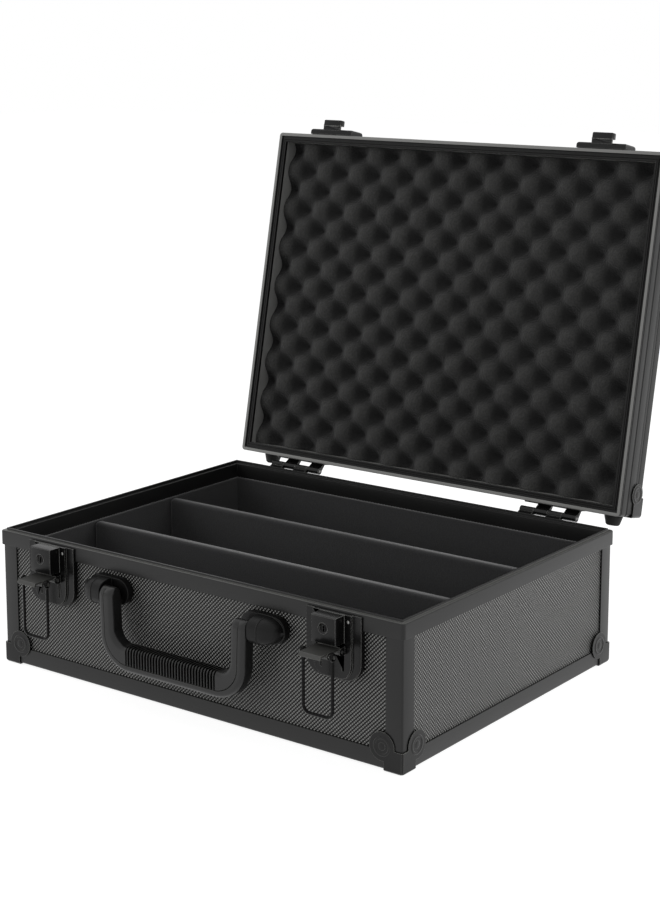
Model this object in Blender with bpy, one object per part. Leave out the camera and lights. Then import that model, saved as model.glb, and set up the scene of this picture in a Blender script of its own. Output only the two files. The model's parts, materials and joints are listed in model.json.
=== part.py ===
"""Card storage case: a black hard-sided carrying case that stands open.

The origin is under the middle of the case, on the surface it stands on. X runs to the right, Y to the
back and Z up, and every size is in metres. An inset is measured inwards from the outer faces of the rim,
and a reach is measured outwards from the rim's front face. The lid is modelled shut, on an empty at the
hinge axis, and the empty leans it back.
"""

from math import asin, ceil, cos, pi, radians, sin, sqrt

import bmesh
import bpy
from mathutils import Vector

# The case as a whole
CASE_WIDTH = 0.400
CASE_DEPTH = 0.300
CASE_HEIGHT = 0.112         # up to the parting plane
LID_HEIGHT = 0.037          # from the parting plane to the lid's outer leaf
LID_OPEN = radians(101.6)
CLEARANCE = 0.0003          # between pieces that touch or run in each other
OVERRUN = 0.002             # of a cutter past what it cuts, and of a joined piece into its neighbour

# Sheet and board thicknesses
GUARD_INSET = 0.0002        # of the bottom corner caps' outer faces
GUARD_SKIN = 0.0012
LEAF = 0.0010
PANEL_THICKNESS = 0.0036
LINING_THICKNESS = 0.0040
PAD_THICKNESS = 0.0020
DIVIDER_THICKNESS = 0.0100
CHANNEL_COUNT = 3

# Lower rim
RIM_WIDTH = 0.0081
RIM_SKIRT = 0.0118
RIM_INNER_SKIRT = 0.0130
RIM_WEB = 0.0045
RIM_LEDGE_DROP = 0.0007
RIM_EDGE = 0.0004
RIM_CORNER_RADIUS = 0.0030
INNER_CORNER_RADIUS = 0.0004
TONGUE_INSET = 0.0036
TONGUE_THICKNESS = 0.0012
TONGUE_HEIGHT = 0.0016

# Corner posts and bottom edges
POST_LEAF = 0.0145
BOTTOM_LEAF_HEIGHT = 0.0135
BOTTOM_LEAF_DEPTH = 0.0135

# Corner caps
CAP_SQUARE = 0.0170
CAP_EDGE_RADIUS = 0.0030
CAP_LOBE_PLACE = 0.0185
CAP_LOBE_RADIUS = 0.0110
LID_CAP_STANDOFF = 0.0003   # of the cap's inner faces from the lid rim's outer faces
SIDE_LOBE_ALONG = 0.0200
SIDE_LOBE_DOWN = 0.0125
SIDE_LOBE_RADIUS = 0.0090

# Lid rim, edge, panel and lining
LID_GAP = 0.0004
LID_RIM_WIDTH = 0.0081
LID_RIM_HEIGHT = 0.0223
LID_RIM_WALL = 0.0020
MOUTH_BOX_HEIGHT = 0.0040
SIDE_GROOVE_DEPTH = 0.0004
SIDE_GROOVES = ((0.0018, 0.0016), (0.0100, 0.0026))   # each one's start above the parting plane, and width
LIP_LINE_INSET = 0.0061
LIP_LINE_WIDTH = 0.0005
LID_LEAF_INSET = 0.0003
LID_LEAF_RADIUS = 0.0020
LID_TOP_LEAF = 0.0137
LID_BLOCK = 0.0037
LID_LINING_INSET = 0.0078

# Egg-crate foam in the lid
FOAM_PITCH = 0.0370
FOAM_PEAK = 0.0085          # of the crests above the parting plane
FOAM_VALLEY = 0.0215        # of the hollows above the parting plane

# Handle and its brackets
HANDLE_REACH = 0.0130       # of the handle's middle plane
HANDLE_HALF_DEPTH = 0.0070
ARM_INSET = 0.0100          # of an arm's middle from its bracket's inner end
ARM_LEAN = 0.0010           # of an arm's foot towards the middle
ARM_HALF_WIDTH = 0.0070
GRIP_HALF_WIDTH = 0.0103
GRIP_DROP = 0.0460          # of the grip's middle line below the pivot
BEND_RADIUS = 0.0200
SECTION_RADIUS = 0.0045
RIB_PITCH = 0.0031
RIB_DEPTH = 0.0008
TRUNNION_RADIUS = 0.0035
TRUNNION_LENGTH = 0.0070
BRACKET_LENGTH = 0.0420
BRACKET_LATCH_GAP = 0.0180  # between a bracket and the latch's flange beside it
BRACKET_RIM_GAP = 0.0042    # between a bracket and the rim's skirt over it
BRACKET_HALF_HEIGHT = 0.0105
BRACKET_REACH = 0.0035
BOSS_STRAIGHT = 0.0090
BOSS_LENGTH = 0.0240
BOSS_REACH = 0.0180
TOP_TURN_SHARE = 0.4        # of a step, where the rounding over an arm's top begins
THIN_ROUND_SHARE = 0.64     # of half the depth, the most that a corner of the handle's section takes
BOSS_FULLNESS_SHARE = 1.6   # how square the boss stands in section
BOSS_END_SHARE = 0.94       # of the quarter turn at which the boss's rounded end stops

# Latches
LATCH_PLACE_SHARE = 0.7025  # of half the case's width, at each latch's middle
FLANGE_HALF_WIDTH = 0.0245
FLANGE_FOOT_HALF = 0.0100
FLANGE_TOP_DROP = 0.0015    # of the flange's top below the parting plane
FLANGE_STRAIGHT_DROP = 0.0090   # of the straight sides' ends below the lever's axis
FLANGE_FOOT_DROP = 0.0230   # of the foot below the lever's axis
FLANGE_THICKNESS = 0.0014
RAISED_INSET = 0.0075       # of the raised middle from the flange's sides
RAISED_HEIGHT = 0.0018
HOUSING_HALF_WIDTH = 0.0109
HOUSING_RISE = 0.0055       # of the housing's foot above the lever's axis
HOUSING_TOP_DROP = 0.0005   # of the housing's top below the flange's
HOUSING_REACH = 0.0140
HOUSING_BEVEL = 0.0012
LOCK_DROP = 0.0110          # of the lock's axis below the parting plane
LOCK_RADIUS = 0.0038
LOCK_SETBACK = 0.0004
LOCK_FLOOR = 0.0010         # metal left behind the lock's bore
KEYWAY_WIDTH = 0.0014
KEYWAY_LENGTH = 0.0050
KEYWAY_DEPTH = 0.0020
SLOT_PLACE = 0.0097
SLOT_WIDTH = 0.0014
SLOT_DROP = 0.0030          # of each slot's top below the lever's axis
SLOT_LENGTH = 0.0125
SLOT_DEPTH = 0.0012
LEVER_REACH = 0.0070        # of the lever's axis
LEVER_DROP = 0.0280         # of the lever's axis below the parting plane
EAR_THICKNESS = 0.0009
EAR_RADIUS = 0.0030
LEVER_PIN_RADIUS = 0.0012
LEVER_HALF_WIDTH = 0.0103
LEVER_TIP_HALF_WIDTH = 0.0096
LEVER_LENGTH = 0.0230
LEVER_SHEET = 0.0016
LEVER_LIP = 0.0032
ROLL_RADIUS = 0.0026
BAIL_ALONG = 0.0130         # of the bail's axis from the lever's
BAIL_PIN_RADIUS = 0.0014
BAIL_WIRE_RADIUS = 0.0012
BAIL_EYE_RADIUS = 0.0032
BAIL_CORNER_RADIUS = 0.0055

# Strikers on the lid
STRIKER_HALF_WIDTH = 0.0235
STRIKER_HEIGHT = 0.0170
STRIKER_THICKNESS = 0.0050
STRIKER_ROUNDING = 0.0022
HOOK_HALF_WIDTH = 0.0097
HOOK_STEM = 0.0014
HOOK_STEM_SETBACK = 0.0004
HOOK_HEAD_HEIGHT = 0.0066
HOOK_REACH = 0.0140
HOOK_ROUNDING = 0.0010
BAR_SEAT = 0.0009           # of the latched bail above the hook's stem, at its middle

# Hinges
HINGE_PLACE_SHARE = 0.67    # of half the case's width, at each hinge's middle
HINGE_WIDTH = 0.0540
HINGE_STANDOFF = 0.0075     # of the axis behind the rim's back face
HINGE_RISE = 0.0013         # of the axis above the parting plane
HINGE_SHEET = 0.0012
HINGE_BARREL = 0.0030
HINGE_PIN_RADIUS = 0.0012
HINGE_KNUCKLES = 4
HINGE_TOP_DROP = 0.0005     # of the lower leaf's top below the parting plane
HINGE_LOW_DROP = 0.0320     # of the lower leaf's foot below the parting plane
HINGE_UPPER_START = 0.0055
HINGE_UPPER_END = 0.0220
HINGE_ARM = 0.0068          # of an arm's root from the axis, up or down
ARM_HOLD_SHARE = 0.9        # of the barrel's radius, where an arm runs into it

# Feet
FOOT_ROOT_RADIUS = 0.0080
FOOT_TIP_RADIUS = 0.0060
FOOT_TIP_STANDOFF = 0.0100  # of every foot's tip behind the rim's back face
FOOT_ROUNDING = 0.0012

# How finely round shapes are divided
CORNER_STEPS = 3
BEND_STEPS = 6
ROUND_SIDES = 16
SMALL_SIDES = 12
WIRE_SIDES = 8
LOBE_STEPS = 14
MERGE_DISTANCE = 0.00001
ROUND_PROFILE_SHARE = 0.5   # a bevel's profile that is a round arc
SHARP_ANGLE = radians(32)   # between faces, past which an edge is shaded sharp

SIDES = {"left": -1, "right": 1}
CORNERS = {"front_left": (-1, -1), "front_right": (1, -1), "back_left": (-1, 1), "back_right": (1, 1)}

# Places that follow from the sizes above
half_x = CASE_WIDTH / 2
half_y = CASE_DEPTH / 2
leaf_outer = GUARD_INSET + GUARD_SKIN + CLEARANCE
leaf_inner = leaf_outer + LEAF
panel_outer = leaf_inner + CLEARANCE
panel_inner = panel_outer + PANEL_THICKNESS
lining_outer = panel_inner + CLEARANCE
lining_inner = lining_outer + LINING_THICKNESS
channel_depth = (2 * (half_y - lining_inner) - (CHANNEL_COUNT - 1) * DIVIDER_THICKNESS) / CHANNEL_COUNT
divider_place = (channel_depth + DIVIDER_THICKNESS) / 2
leaf_low = GUARD_SKIN + CLEARANCE
floor_low = leaf_low + LEAF + CLEARANCE
floor_high = floor_low + PANEL_THICKNESS
wall_low = floor_high + CLEARANCE
skirt_low = CASE_HEIGHT - RIM_SKIRT
inner_skirt_low = CASE_HEIGHT - RIM_INNER_SKIRT
wall_high = CASE_HEIGHT - RIM_WEB - CLEARANCE
bottom_leaf_top = leaf_low + BOTTOM_LEAF_HEIGHT
under_cap_radius = CAP_EDGE_RADIUS - GUARD_SKIN - CLEARANCE
lid_block_low = LID_RIM_HEIGHT + CLEARANCE
lid_panel_high = LID_HEIGHT - LEAF - CLEARANCE
lid_panel_low = lid_panel_high - PANEL_THICKNESS
lid_lining_high = lid_panel_low - CLEARANCE
lid_cap_outer = -LID_CAP_STANDOFF - GUARD_SKIN
lid_cap_top = LID_HEIGHT + CLEARANCE + GUARD_SKIN
latch_place = half_x * LATCH_PLACE_SHARE
flange_high = CASE_HEIGHT - FLANGE_TOP_DROP
lever_height = CASE_HEIGHT - LEVER_DROP
flange_straight = lever_height - FLANGE_STRAIGHT_DROP
flange_low = lever_height - FLANGE_FOOT_DROP
housing_low = lever_height + HOUSING_RISE
housing_high = flange_high - HOUSING_TOP_DROP
lock_height = CASE_HEIGHT - LOCK_DROP
slot_high = lever_height - SLOT_DROP
slot_low = slot_high - SLOT_LENGTH
bracket_end = latch_place - FLANGE_HALF_WIDTH - BRACKET_LATCH_GAP
bracket_start = bracket_end - BRACKET_LENGTH
pivot_height = skirt_low - BRACKET_RIM_GAP - BRACKET_HALF_HEIGHT
arm_place = bracket_start + ARM_INSET
bend_place = arm_place - ARM_LEAN - BEND_RADIUS
rib_count = 2 * int(bend_place / RIB_PITCH - 1 / 2) + 1
hinge_place = half_x * HINGE_PLACE_SHARE
hinge_y = half_y + HINGE_STANDOFF
hinge_z = CASE_HEIGHT + HINGE_RISE
bail_height_latched = lever_height - BAIL_ALONG
hook_stem_low = CASE_HEIGHT + 2 * CLEARANCE + HOOK_STEM_SETBACK
hook_stem_high = hook_stem_low + HOOK_STEM
bail_length = hook_stem_high + BAR_SEAT + BAIL_WIRE_RADIUS - bail_height_latched


def front(reach):
    """The Y of a place that stands this far out from the rim's front face."""
    return -half_y - reach


# Outlines and shapes that several pieces share

def arc(centre, radius, start, end, steps):
    """Points round a circle from one angle to another, both ends included."""
    points = []
    for step in range(steps + 1):
        angle = start + (end - start) * step / steps
        points.append((centre[0] + radius * cos(angle), centre[1] + radius * sin(angle)))
    return points


def rounded_rectangle(half_width, half_height, radius, steps):
    """Points round a rectangle with round corners, about the origin."""
    points = []
    for quarter, (side, end) in enumerate(((1, 1), (-1, 1), (-1, -1), (1, -1))):
        centre = (side * (half_width - radius), end * (half_height - radius))
        points += arc(centre, radius, quarter * pi / 2, (quarter + 1) * pi / 2, steps)
    return points


def loft(rings, looped=False):
    """A closed surface over rings of points, with its ends capped or joined to each other."""
    shape = bmesh.new()
    placed = [[shape.verts.new(point) for point in ring] for ring in rings]
    pairs = list(zip(placed, placed[1:]))
    if looped:
        pairs.append((placed[-1], placed[0]))
    else:
        shape.faces.new(placed[0])
        shape.faces.new(placed[-1])
    for ring, following in pairs:
        for index in range(len(ring)):
            after = (index + 1) % len(ring)
            shape.faces.new((ring[index], ring[after], following[after], following[index]))
    bmesh.ops.recalc_face_normals(shape, faces=shape.faces)
    return shape


def prism(outline, low, high, plane):
    """A prism: the outline lies in the plane named, and low and high are its ends across that plane."""
    first, second, across = {"xy": (0, 1, 2), "xz": (0, 2, 1), "yz": (1, 2, 0)}[plane]
    rings = []
    for end in (low, high):
        ring = []
        for pair in outline:
            point = [0, 0, 0]
            point[first] = pair[0]
            point[second] = pair[1]
            point[across] = end
            ring.append(point)
        rings.append(ring)
    return loft(rings)


def block(x_ends, y_ends, z_ends):
    """A box between two places along each axis."""
    low, high = y_ends
    outline = [(x_ends[0], low), (x_ends[1], low), (x_ends[1], high), (x_ends[0], high)]
    return prism(outline, z_ends[0], z_ends[1], "xy")


def turned(profile, axis, centre, sides, looped=False):
    """A turned solid. The profile pairs a radius with a place along the axis, which is x, y or z."""
    along = "xyz".index(axis)
    first, second = [index for index in range(3) if index != along]
    rings = []
    for radius, place in profile:
        ring = []
        for side in range(sides):
            angle = 2 * pi * (side + 0.5) / sides
            point = [centre[0], centre[1], centre[2]]
            point[first] += radius * cos(angle)
            point[second] += radius * sin(angle)
            point[along] += place
            ring.append(point)
        rings.append(ring)
    return loft(rings, looped)


def rod(radius, ends, axis, centre, sides=SMALL_SIDES):
    """A plain round rod between two places along an axis."""
    return turned([(radius, ends[0]), (radius, ends[1])], axis, centre, sides)


def tube(radius, bore, ends, axis, centre, sides=ROUND_SIDES):
    """A round rod with a bore through it."""
    profile = [(radius, ends[0]), (radius, ends[1]), (bore, ends[1]), (bore, ends[0])]
    return turned(profile, axis, centre, sides, looped=True)


def frame_ring(profile, corner_radius):
    """A frame that runs round the case: the profile pairs an inset with a height."""
    rings = []
    for inset, height in profile:
        radius = max(corner_radius - inset, INNER_CORNER_RADIUS)
        outline = rounded_rectangle(half_x - inset, half_y - inset, radius, CORNER_STEPS)
        rings.append([(x, y, height) for x, y in outline])
    return loft(rings, looped=True)


def swept(path, section):
    """A bar along a path in the plane of X and Z. Each stop gives its place, heading and section."""
    rings = []
    for x, z, heading, stop in path:
        outward = (-sin(heading), cos(heading))
        ring = []
        for across, deep in section(stop):
            ring.append((x + outward[0] * across, deep, z + outward[1] * across))
        rings.append(ring)
    return loft(rings)


def combined(solids, holes=()):
    """The union of the solids less the holes, as one shape."""
    holders = []
    for shape in (*solids, *holes):
        mesh = bpy.data.meshes.new("solid")
        shape.to_mesh(mesh)
        shape.free()
        holder = bpy.data.objects.new("solid", mesh)
        bpy.context.collection.objects.link(holder)
        holders.append(holder)
    for index, holder in enumerate(holders[1:], start=1):
        modifier = holders[0].modifiers.new("combined", "BOOLEAN")
        modifier.operation = "UNION" if index < len(solids) else "DIFFERENCE"
        modifier.solver = "EXACT"
        modifier.object = holder
    evaluated = holders[0].evaluated_get(bpy.context.evaluated_depsgraph_get())
    result = bmesh.new()
    result.from_mesh(evaluated.to_mesh())
    evaluated.to_mesh_clear()
    for holder in holders:
        bpy.data.objects.remove(holder, do_unlink=True)
    bmesh.ops.remove_doubles(result, verts=result.verts, dist=MERGE_DISTANCE)
    return result


def mirrored(shape, x_side=1, y_side=1, z_side=1):
    """The same shape on the other side of the axes whose side is -1."""
    bmesh.ops.scale(shape, vec=(x_side, y_side, z_side), verts=shape.verts)
    bmesh.ops.recalc_face_normals(shape, faces=shape.faces)
    return shape


def bevelled(shape, radius, steps, chosen):
    """Round the edges for which the test holds."""
    edges = [edge for edge in shape.edges if chosen(edge)]
    bmesh.ops.bevel(shape, geom=edges, offset=radius, segments=steps, profile=ROUND_PROFILE_SHARE,
                    affect="EDGES")
    return shape


# Materials

def finish(name, colour, roughness, metallic=0):
    """A Principled material with a linear colour."""
    material = bpy.data.materials.new(name)
    material.use_nodes = True
    shader = material.node_tree.nodes["Principled BSDF"]
    shader.inputs["Base Color"].default_value = (*colour, 1)
    shader.inputs["Roughness"].default_value = roughness
    shader.inputs["Metallic"].default_value = metallic
    return material


def make_finishes():
    """Every finish on the case, all near black."""
    return {
        "extrusion": finish("black_anodised", (0.030, 0.030, 0.032), 0.42, 0.6),
        "panel": finish("embossed_board", (0.060, 0.060, 0.062), 0.50),
        "cap": finish("black_steel", (0.022, 0.022, 0.023), 0.35, 0.5),
        "fitting": finish("black_chromate", (0.035, 0.035, 0.037), 0.30, 0.8),
        "plastic": finish("moulded_plastic", (0.025, 0.025, 0.026), 0.50),
        "rubber": finish("rubber", (0.018, 0.018, 0.018), 0.75),
        "lining": finish("lining_cloth", (0.020, 0.020, 0.021), 0.90),
        "foam": finish("foam", (0.014, 0.014, 0.015), 0.95),
    }


# Pieces and what carries them

def piece_mesh(name, shape, material, about=(0, 0, 0)):
    """Turn a shape into a mesh whose origin is the place given."""
    bmesh.ops.translate(shape, vec=-Vector(about), verts=shape.verts)
    mesh = bpy.data.meshes.new(name)
    shape.to_mesh(mesh)
    shape.free()
    mesh.materials.append(material)
    mesh.shade_smooth()
    mesh.set_sharp_from_angle(angle=SHARP_ANGLE)
    return mesh


def add_piece(name, mesh, place=(0, 0, 0), carrier=None):
    """Put a piece at its place, or on the empty that carries it."""
    piece = bpy.data.objects.new(name, mesh)
    bpy.context.collection.objects.link(piece)
    piece.location = place
    piece.parent = carrier
    return piece


def add_axis(name, place, lean=0):
    """An empty on a joint's axis, leaned about X."""
    empty = bpy.data.objects.new(name, None)
    bpy.context.collection.objects.link(empty)
    empty.location = place
    empty.rotation_euler = (lean, 0, 0)
    return empty


# Lower case: panels, rim, posts, edges and linings

def make_panels(material):
    """Four wall panels, which stand in the rim's slot, and the bottom panel between them."""
    wide = half_x - lining_outer
    deep = half_y - lining_outer
    for name, side in (("front_panel", -1), ("back_panel", 1)):
        shape = block((-wide, wide), (half_y - panel_inner, half_y - panel_outer), (wall_low, wall_high))
        add_piece(name, piece_mesh(name, mirrored(shape, y_side=side), material))
    for name, side in (("left_panel", -1), ("right_panel", 1)):
        shape = block((half_x - panel_inner, half_x - panel_outer), (-deep, deep), (wall_low, wall_high))
        add_piece(name, piece_mesh(name, mirrored(shape, x_side=side), material))
    shape = block((-wide, wide), (-deep, deep), (floor_low, floor_high))
    add_piece("bottom_panel", piece_mesh("bottom_panel", shape, material))


def make_lower_rim(material):
    """The extruded frame round the mouth, with a slot below for the panels and a tongue on top."""
    tongue_inner = TONGUE_INSET + TONGUE_THICKNESS
    ledge = CASE_HEIGHT - RIM_LEDGE_DROP
    slot_top = CASE_HEIGHT - RIM_WEB
    profile = [
        (0, skirt_low),
        (0, CASE_HEIGHT - RIM_EDGE),
        (RIM_EDGE, CASE_HEIGHT),
        (TONGUE_INSET, CASE_HEIGHT),
        (TONGUE_INSET, CASE_HEIGHT + TONGUE_HEIGHT),
        (tongue_inner, CASE_HEIGHT + TONGUE_HEIGHT),
        (tongue_inner, ledge),
        (RIM_WIDTH, ledge),
        (RIM_WIDTH, inner_skirt_low),
        (lining_outer, inner_skirt_low),
        (lining_outer, slot_top),
        (leaf_inner, slot_top),
        (leaf_inner, skirt_low),
    ]
    add_piece("lower_rim", piece_mesh("lower_rim", frame_ring(profile, RIM_CORNER_RADIUS), material))


def make_corner_posts(material):
    """Four L-shaped extrusions up the vertical edges, each with a block between the panels."""
    leaf_end = leaf_outer + POST_LEAF
    insets = [(leaf_outer, leaf_end), (leaf_inner, leaf_end), (leaf_inner, panel_inner)]
    insets += [(panel_inner, panel_inner), (panel_inner, leaf_inner)]
    insets += [(leaf_end, leaf_inner), (leaf_end, leaf_outer)]
    outline = [(half_x - x_inset, half_y - y_inset) for x_inset, y_inset in insets]
    corner = (half_x - leaf_outer - under_cap_radius, half_y - leaf_outer - under_cap_radius)
    outline += arc(corner, under_cap_radius, pi / 2, 0, CORNER_STEPS)
    for name, (x_side, y_side) in CORNERS.items():
        name = "corner_post_" + name
        shape = prism(outline, bottom_leaf_top + CLEARANCE, skirt_low - CLEARANCE, "xy")
        add_piece(name, piece_mesh(name, mirrored(shape, x_side, y_side), material))


def make_bottom_edges(material):
    """Four extrusions along the bottom edges, mitred where they meet and cut short under the caps' folds."""
    fold = leaf_outer + under_cap_radius
    profile = arc((fold, leaf_low + under_cap_radius), under_cap_radius, pi, 3 * pi / 2, CORNER_STEPS)
    profile += [
        (leaf_outer + BOTTOM_LEAF_DEPTH, leaf_low),
        (leaf_outer + BOTTOM_LEAF_DEPTH, leaf_low + LEAF),
        (panel_inner, leaf_low + LEAF),
        (panel_inner, floor_high),
        (leaf_inner, floor_high),
        (leaf_inner, bottom_leaf_top),
        (leaf_outer, bottom_leaf_top),
    ]
    cuts = [max(inset, fold) + CLEARANCE for inset, z in profile]
    for name, side in (("bottom_edge_front", -1), ("bottom_edge_back", 1)):
        rings = []
        for end in (-1, 1):
            rings.append([(end * (half_x - cut), side * (half_y - inset), z)
                          for cut, (inset, z) in zip(cuts, profile)])
        add_piece(name, piece_mesh(name, loft(rings), material))
    for name, side in (("bottom_edge_left", -1), ("bottom_edge_right", 1)):
        rings = []
        for end in (-1, 1):
            rings.append([(side * (half_x - inset), end * (half_y - cut), z)
                          for cut, (inset, z) in zip(cuts, profile)])
        add_piece(name, piece_mesh(name, loft(rings), material))


def make_linings(board, pad):
    """The lining board round the walls, the floor pad, and two dividers that make three equal channels."""
    lining_high = inner_skirt_low - CLEARANCE
    profile = [
        (lining_outer, wall_low),
        (lining_outer, lining_high),
        (lining_inner, lining_high),
        (lining_inner, wall_low),
    ]
    add_piece("wall_lining", piece_mesh("wall_lining", frame_ring(profile, RIM_CORNER_RADIUS), board))
    wide = half_x - lining_inner - CLEARANCE
    deep = half_y - lining_inner - CLEARANCE
    pad_high = wall_low + PAD_THICKNESS
    shape = block((-wide, wide), (-deep, deep), (wall_low, pad_high))
    add_piece("base_pad", piece_mesh("base_pad", shape, pad))
    for name, side in (("divider_front", -1), ("divider_back", 1)):
        middle = side * divider_place
        ends = (middle - DIVIDER_THICKNESS / 2, middle + DIVIDER_THICKNESS / 2)
        shape = block((-wide, wide), ends, (pad_high + CLEARANCE, lining_high))
        add_piece(name, piece_mesh(name, shape, board))


# Corner caps

def cap_shape(side_lobe, flat_lobe):
    """A pressed cap at the origin that reaches along +X, +Y and +Z, with a lobe on each of its three faces.

    A lobe is its place along the face's two edges and its radius, and each face is a square joined to it.
    """
    shape = bmesh.new()
    corner = shape.verts.new((0, 0, 0))
    ends = [shape.verts.new([CAP_SQUARE if index == axis else 0 for index in range(3)]) for axis in range(3)]
    for first, second, lobe in ((0, 1, flat_lobe), (1, 2, side_lobe), (0, 2, side_lobe)):
        along, down, radius = lobe
        start = -pi / 2 - asin((along - CAP_SQUARE) / radius)
        end = pi + asin((down - CAP_SQUARE) / radius)
        outline = []
        for x, y in arc((along, down), radius, start, end, LOBE_STEPS):
            point = [0, 0, 0]
            point[first] = x
            point[second] = y
            outline.append(shape.verts.new(point))
        shape.faces.new([corner, ends[first], *outline, ends[second]])
    bmesh.ops.recalc_face_normals(shape, faces=shape.faces)
    folds = [edge for edge in shape.edges if corner in edge.verts]
    bmesh.ops.bevel(shape, geom=folds, offset=CAP_EDGE_RADIUS, segments=CORNER_STEPS,
                    profile=ROUND_PROFILE_SHARE, affect="EDGES")
    shape.normal_update()
    outwards = sum((face.normal.x + face.normal.y + face.normal.z) * face.calc_area() for face in shape.faces)
    if outwards > 0:
        bmesh.ops.reverse_faces(shape, faces=shape.faces)
    bmesh.ops.solidify(shape, geom=shape.faces[:], thickness=GUARD_SKIN)
    bmesh.ops.recalc_face_normals(shape, faces=shape.faces)
    return shape


def make_caps(material, lid):
    """Eight caps: four under the case, and four on the lid whose side lobes sit nearer to its edge."""
    lobe = (CAP_LOBE_PLACE, CAP_LOBE_PLACE, CAP_LOBE_RADIUS)
    side_lobe = (SIDE_LOBE_ALONG, SIDE_LOBE_DOWN, SIDE_LOBE_RADIUS)
    for corner, (x_side, y_side) in CORNERS.items():
        shape = mirrored(cap_shape(lobe, lobe), -x_side, -y_side)
        place = (x_side * (half_x - GUARD_INSET), y_side * (half_y - GUARD_INSET), 0)
        bmesh.ops.translate(shape, vec=place, verts=shape.verts)
        name = "bottom_corner_" + corner
        add_piece(name, piece_mesh(name, shape, material))
        shape = mirrored(cap_shape(side_lobe, lobe), -x_side, -y_side, -1)
        place = (x_side * (half_x - lid_cap_outer), y_side * (half_y - lid_cap_outer),
                 CASE_HEIGHT + lid_cap_top)
        bmesh.ops.translate(shape, vec=place, verts=shape.verts)
        name = "lid_corner_" + corner
        add_piece(name, piece_mesh(name, shape, material, lid.location), carrier=lid)


# Lid

def raised(profile):
    """The same profile with its heights counted from the parting plane."""
    return [(inset, CASE_HEIGHT + height) for inset, height in profile]


def make_lid_rim(material, lid):
    """The lid's extruded rim: a box round the mouth with a groove for the tongue, and an outer wall."""
    groove_outer = TONGUE_INSET - CLEARANCE
    groove_inner = TONGUE_INSET + TONGUE_THICKNESS + CLEARANCE
    groove_top = TONGUE_HEIGHT + 2 * CLEARANCE
    line_end = LIP_LINE_INSET + LIP_LINE_WIDTH
    profile = [(0, LID_GAP + RIM_EDGE)]
    for start, width in SIDE_GROOVES:
        profile += [(0, start), (SIDE_GROOVE_DEPTH, start + SIDE_GROOVE_DEPTH)]
        profile += [(SIDE_GROOVE_DEPTH, start + width - SIDE_GROOVE_DEPTH), (0, start + width)]
    profile += [
        (0, LID_RIM_HEIGHT),
        (LID_RIM_WALL, LID_RIM_HEIGHT),
        (LID_RIM_WALL, MOUTH_BOX_HEIGHT),
        (LID_RIM_WIDTH, MOUTH_BOX_HEIGHT),
        (LID_RIM_WIDTH, LID_GAP),
        (line_end, LID_GAP),
        (LIP_LINE_INSET + LIP_LINE_WIDTH / 2, LID_GAP + LIP_LINE_WIDTH),
        (LIP_LINE_INSET, LID_GAP),
        (groove_inner, LID_GAP),
        (groove_inner, groove_top),
        (groove_outer, groove_top),
        (groove_outer, LID_GAP),
        (RIM_EDGE, LID_GAP),
    ]
    shape = frame_ring(raised(profile), RIM_CORNER_RADIUS)
    add_piece("lid_rim", piece_mesh("lid_rim", shape, material, lid.location), carrier=lid)


def make_lid_edge(material, lid):
    """The extrusion round the lid's top edge: a block beside the panel and a leaf over it."""
    block_inner = LID_LEAF_INSET + LEAF + LID_BLOCK
    fold = (LID_LEAF_INSET + LID_LEAF_RADIUS, LID_HEIGHT - LID_LEAF_RADIUS)
    rounding = arc(fold, LID_LEAF_RADIUS, pi, pi / 2, CORNER_STEPS)
    profile = [(LID_LEAF_INSET, lid_block_low)]
    profile += rounding
    profile += [
        (LID_LEAF_INSET + LID_TOP_LEAF, LID_HEIGHT),
        (LID_LEAF_INSET + LID_TOP_LEAF, LID_HEIGHT - LEAF),
        (block_inner, LID_HEIGHT - LEAF),
        (block_inner, lid_block_low),
    ]
    shape = frame_ring(raised(profile), RIM_CORNER_RADIUS)
    add_piece("lid_edge", piece_mesh("lid_edge", shape, material, lid.location), carrier=lid)


def make_lid_panel(material, lid):
    """The board in the top of the lid."""
    inset = LID_LEAF_INSET + LEAF + LID_BLOCK + CLEARANCE
    wide = half_x - inset
    deep = half_y - inset
    heights = (CASE_HEIGHT + lid_panel_low, CASE_HEIGHT + lid_panel_high)
    shape = block((-wide, wide), (-deep, deep), heights)
    add_piece("lid_panel", piece_mesh("lid_panel", shape, material, lid.location), carrier=lid)


def make_lid_lining(material, lid):
    """The lining board round the inside of the lid's walls."""
    outer = LID_RIM_WALL + CLEARANCE
    upper_outer = LID_LEAF_INSET + LEAF + LID_BLOCK + CLEARANCE
    low = MOUTH_BOX_HEIGHT + CLEARANCE
    profile = [
        (outer, low),
        (outer, LID_RIM_HEIGHT),
        (upper_outer, LID_RIM_HEIGHT),
        (upper_outer, lid_lining_high),
        (LID_LINING_INSET, lid_lining_high),
        (LID_LINING_INSET, low),
    ]
    shape = frame_ring(raised(profile), RIM_CORNER_RADIUS)
    add_piece("lid_lining", piece_mesh("lid_lining", shape, material, lid.location), carrier=lid)


def foam_lines(half):
    """Places across the foam, a quarter of the pitch apart from the middle out, and both its edges."""
    spacing = FOAM_PITCH / 4
    count = ceil(half / spacing) - 1
    return [-half] + [spacing * index for index in range(-count, count + 1)] + [half]


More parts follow.
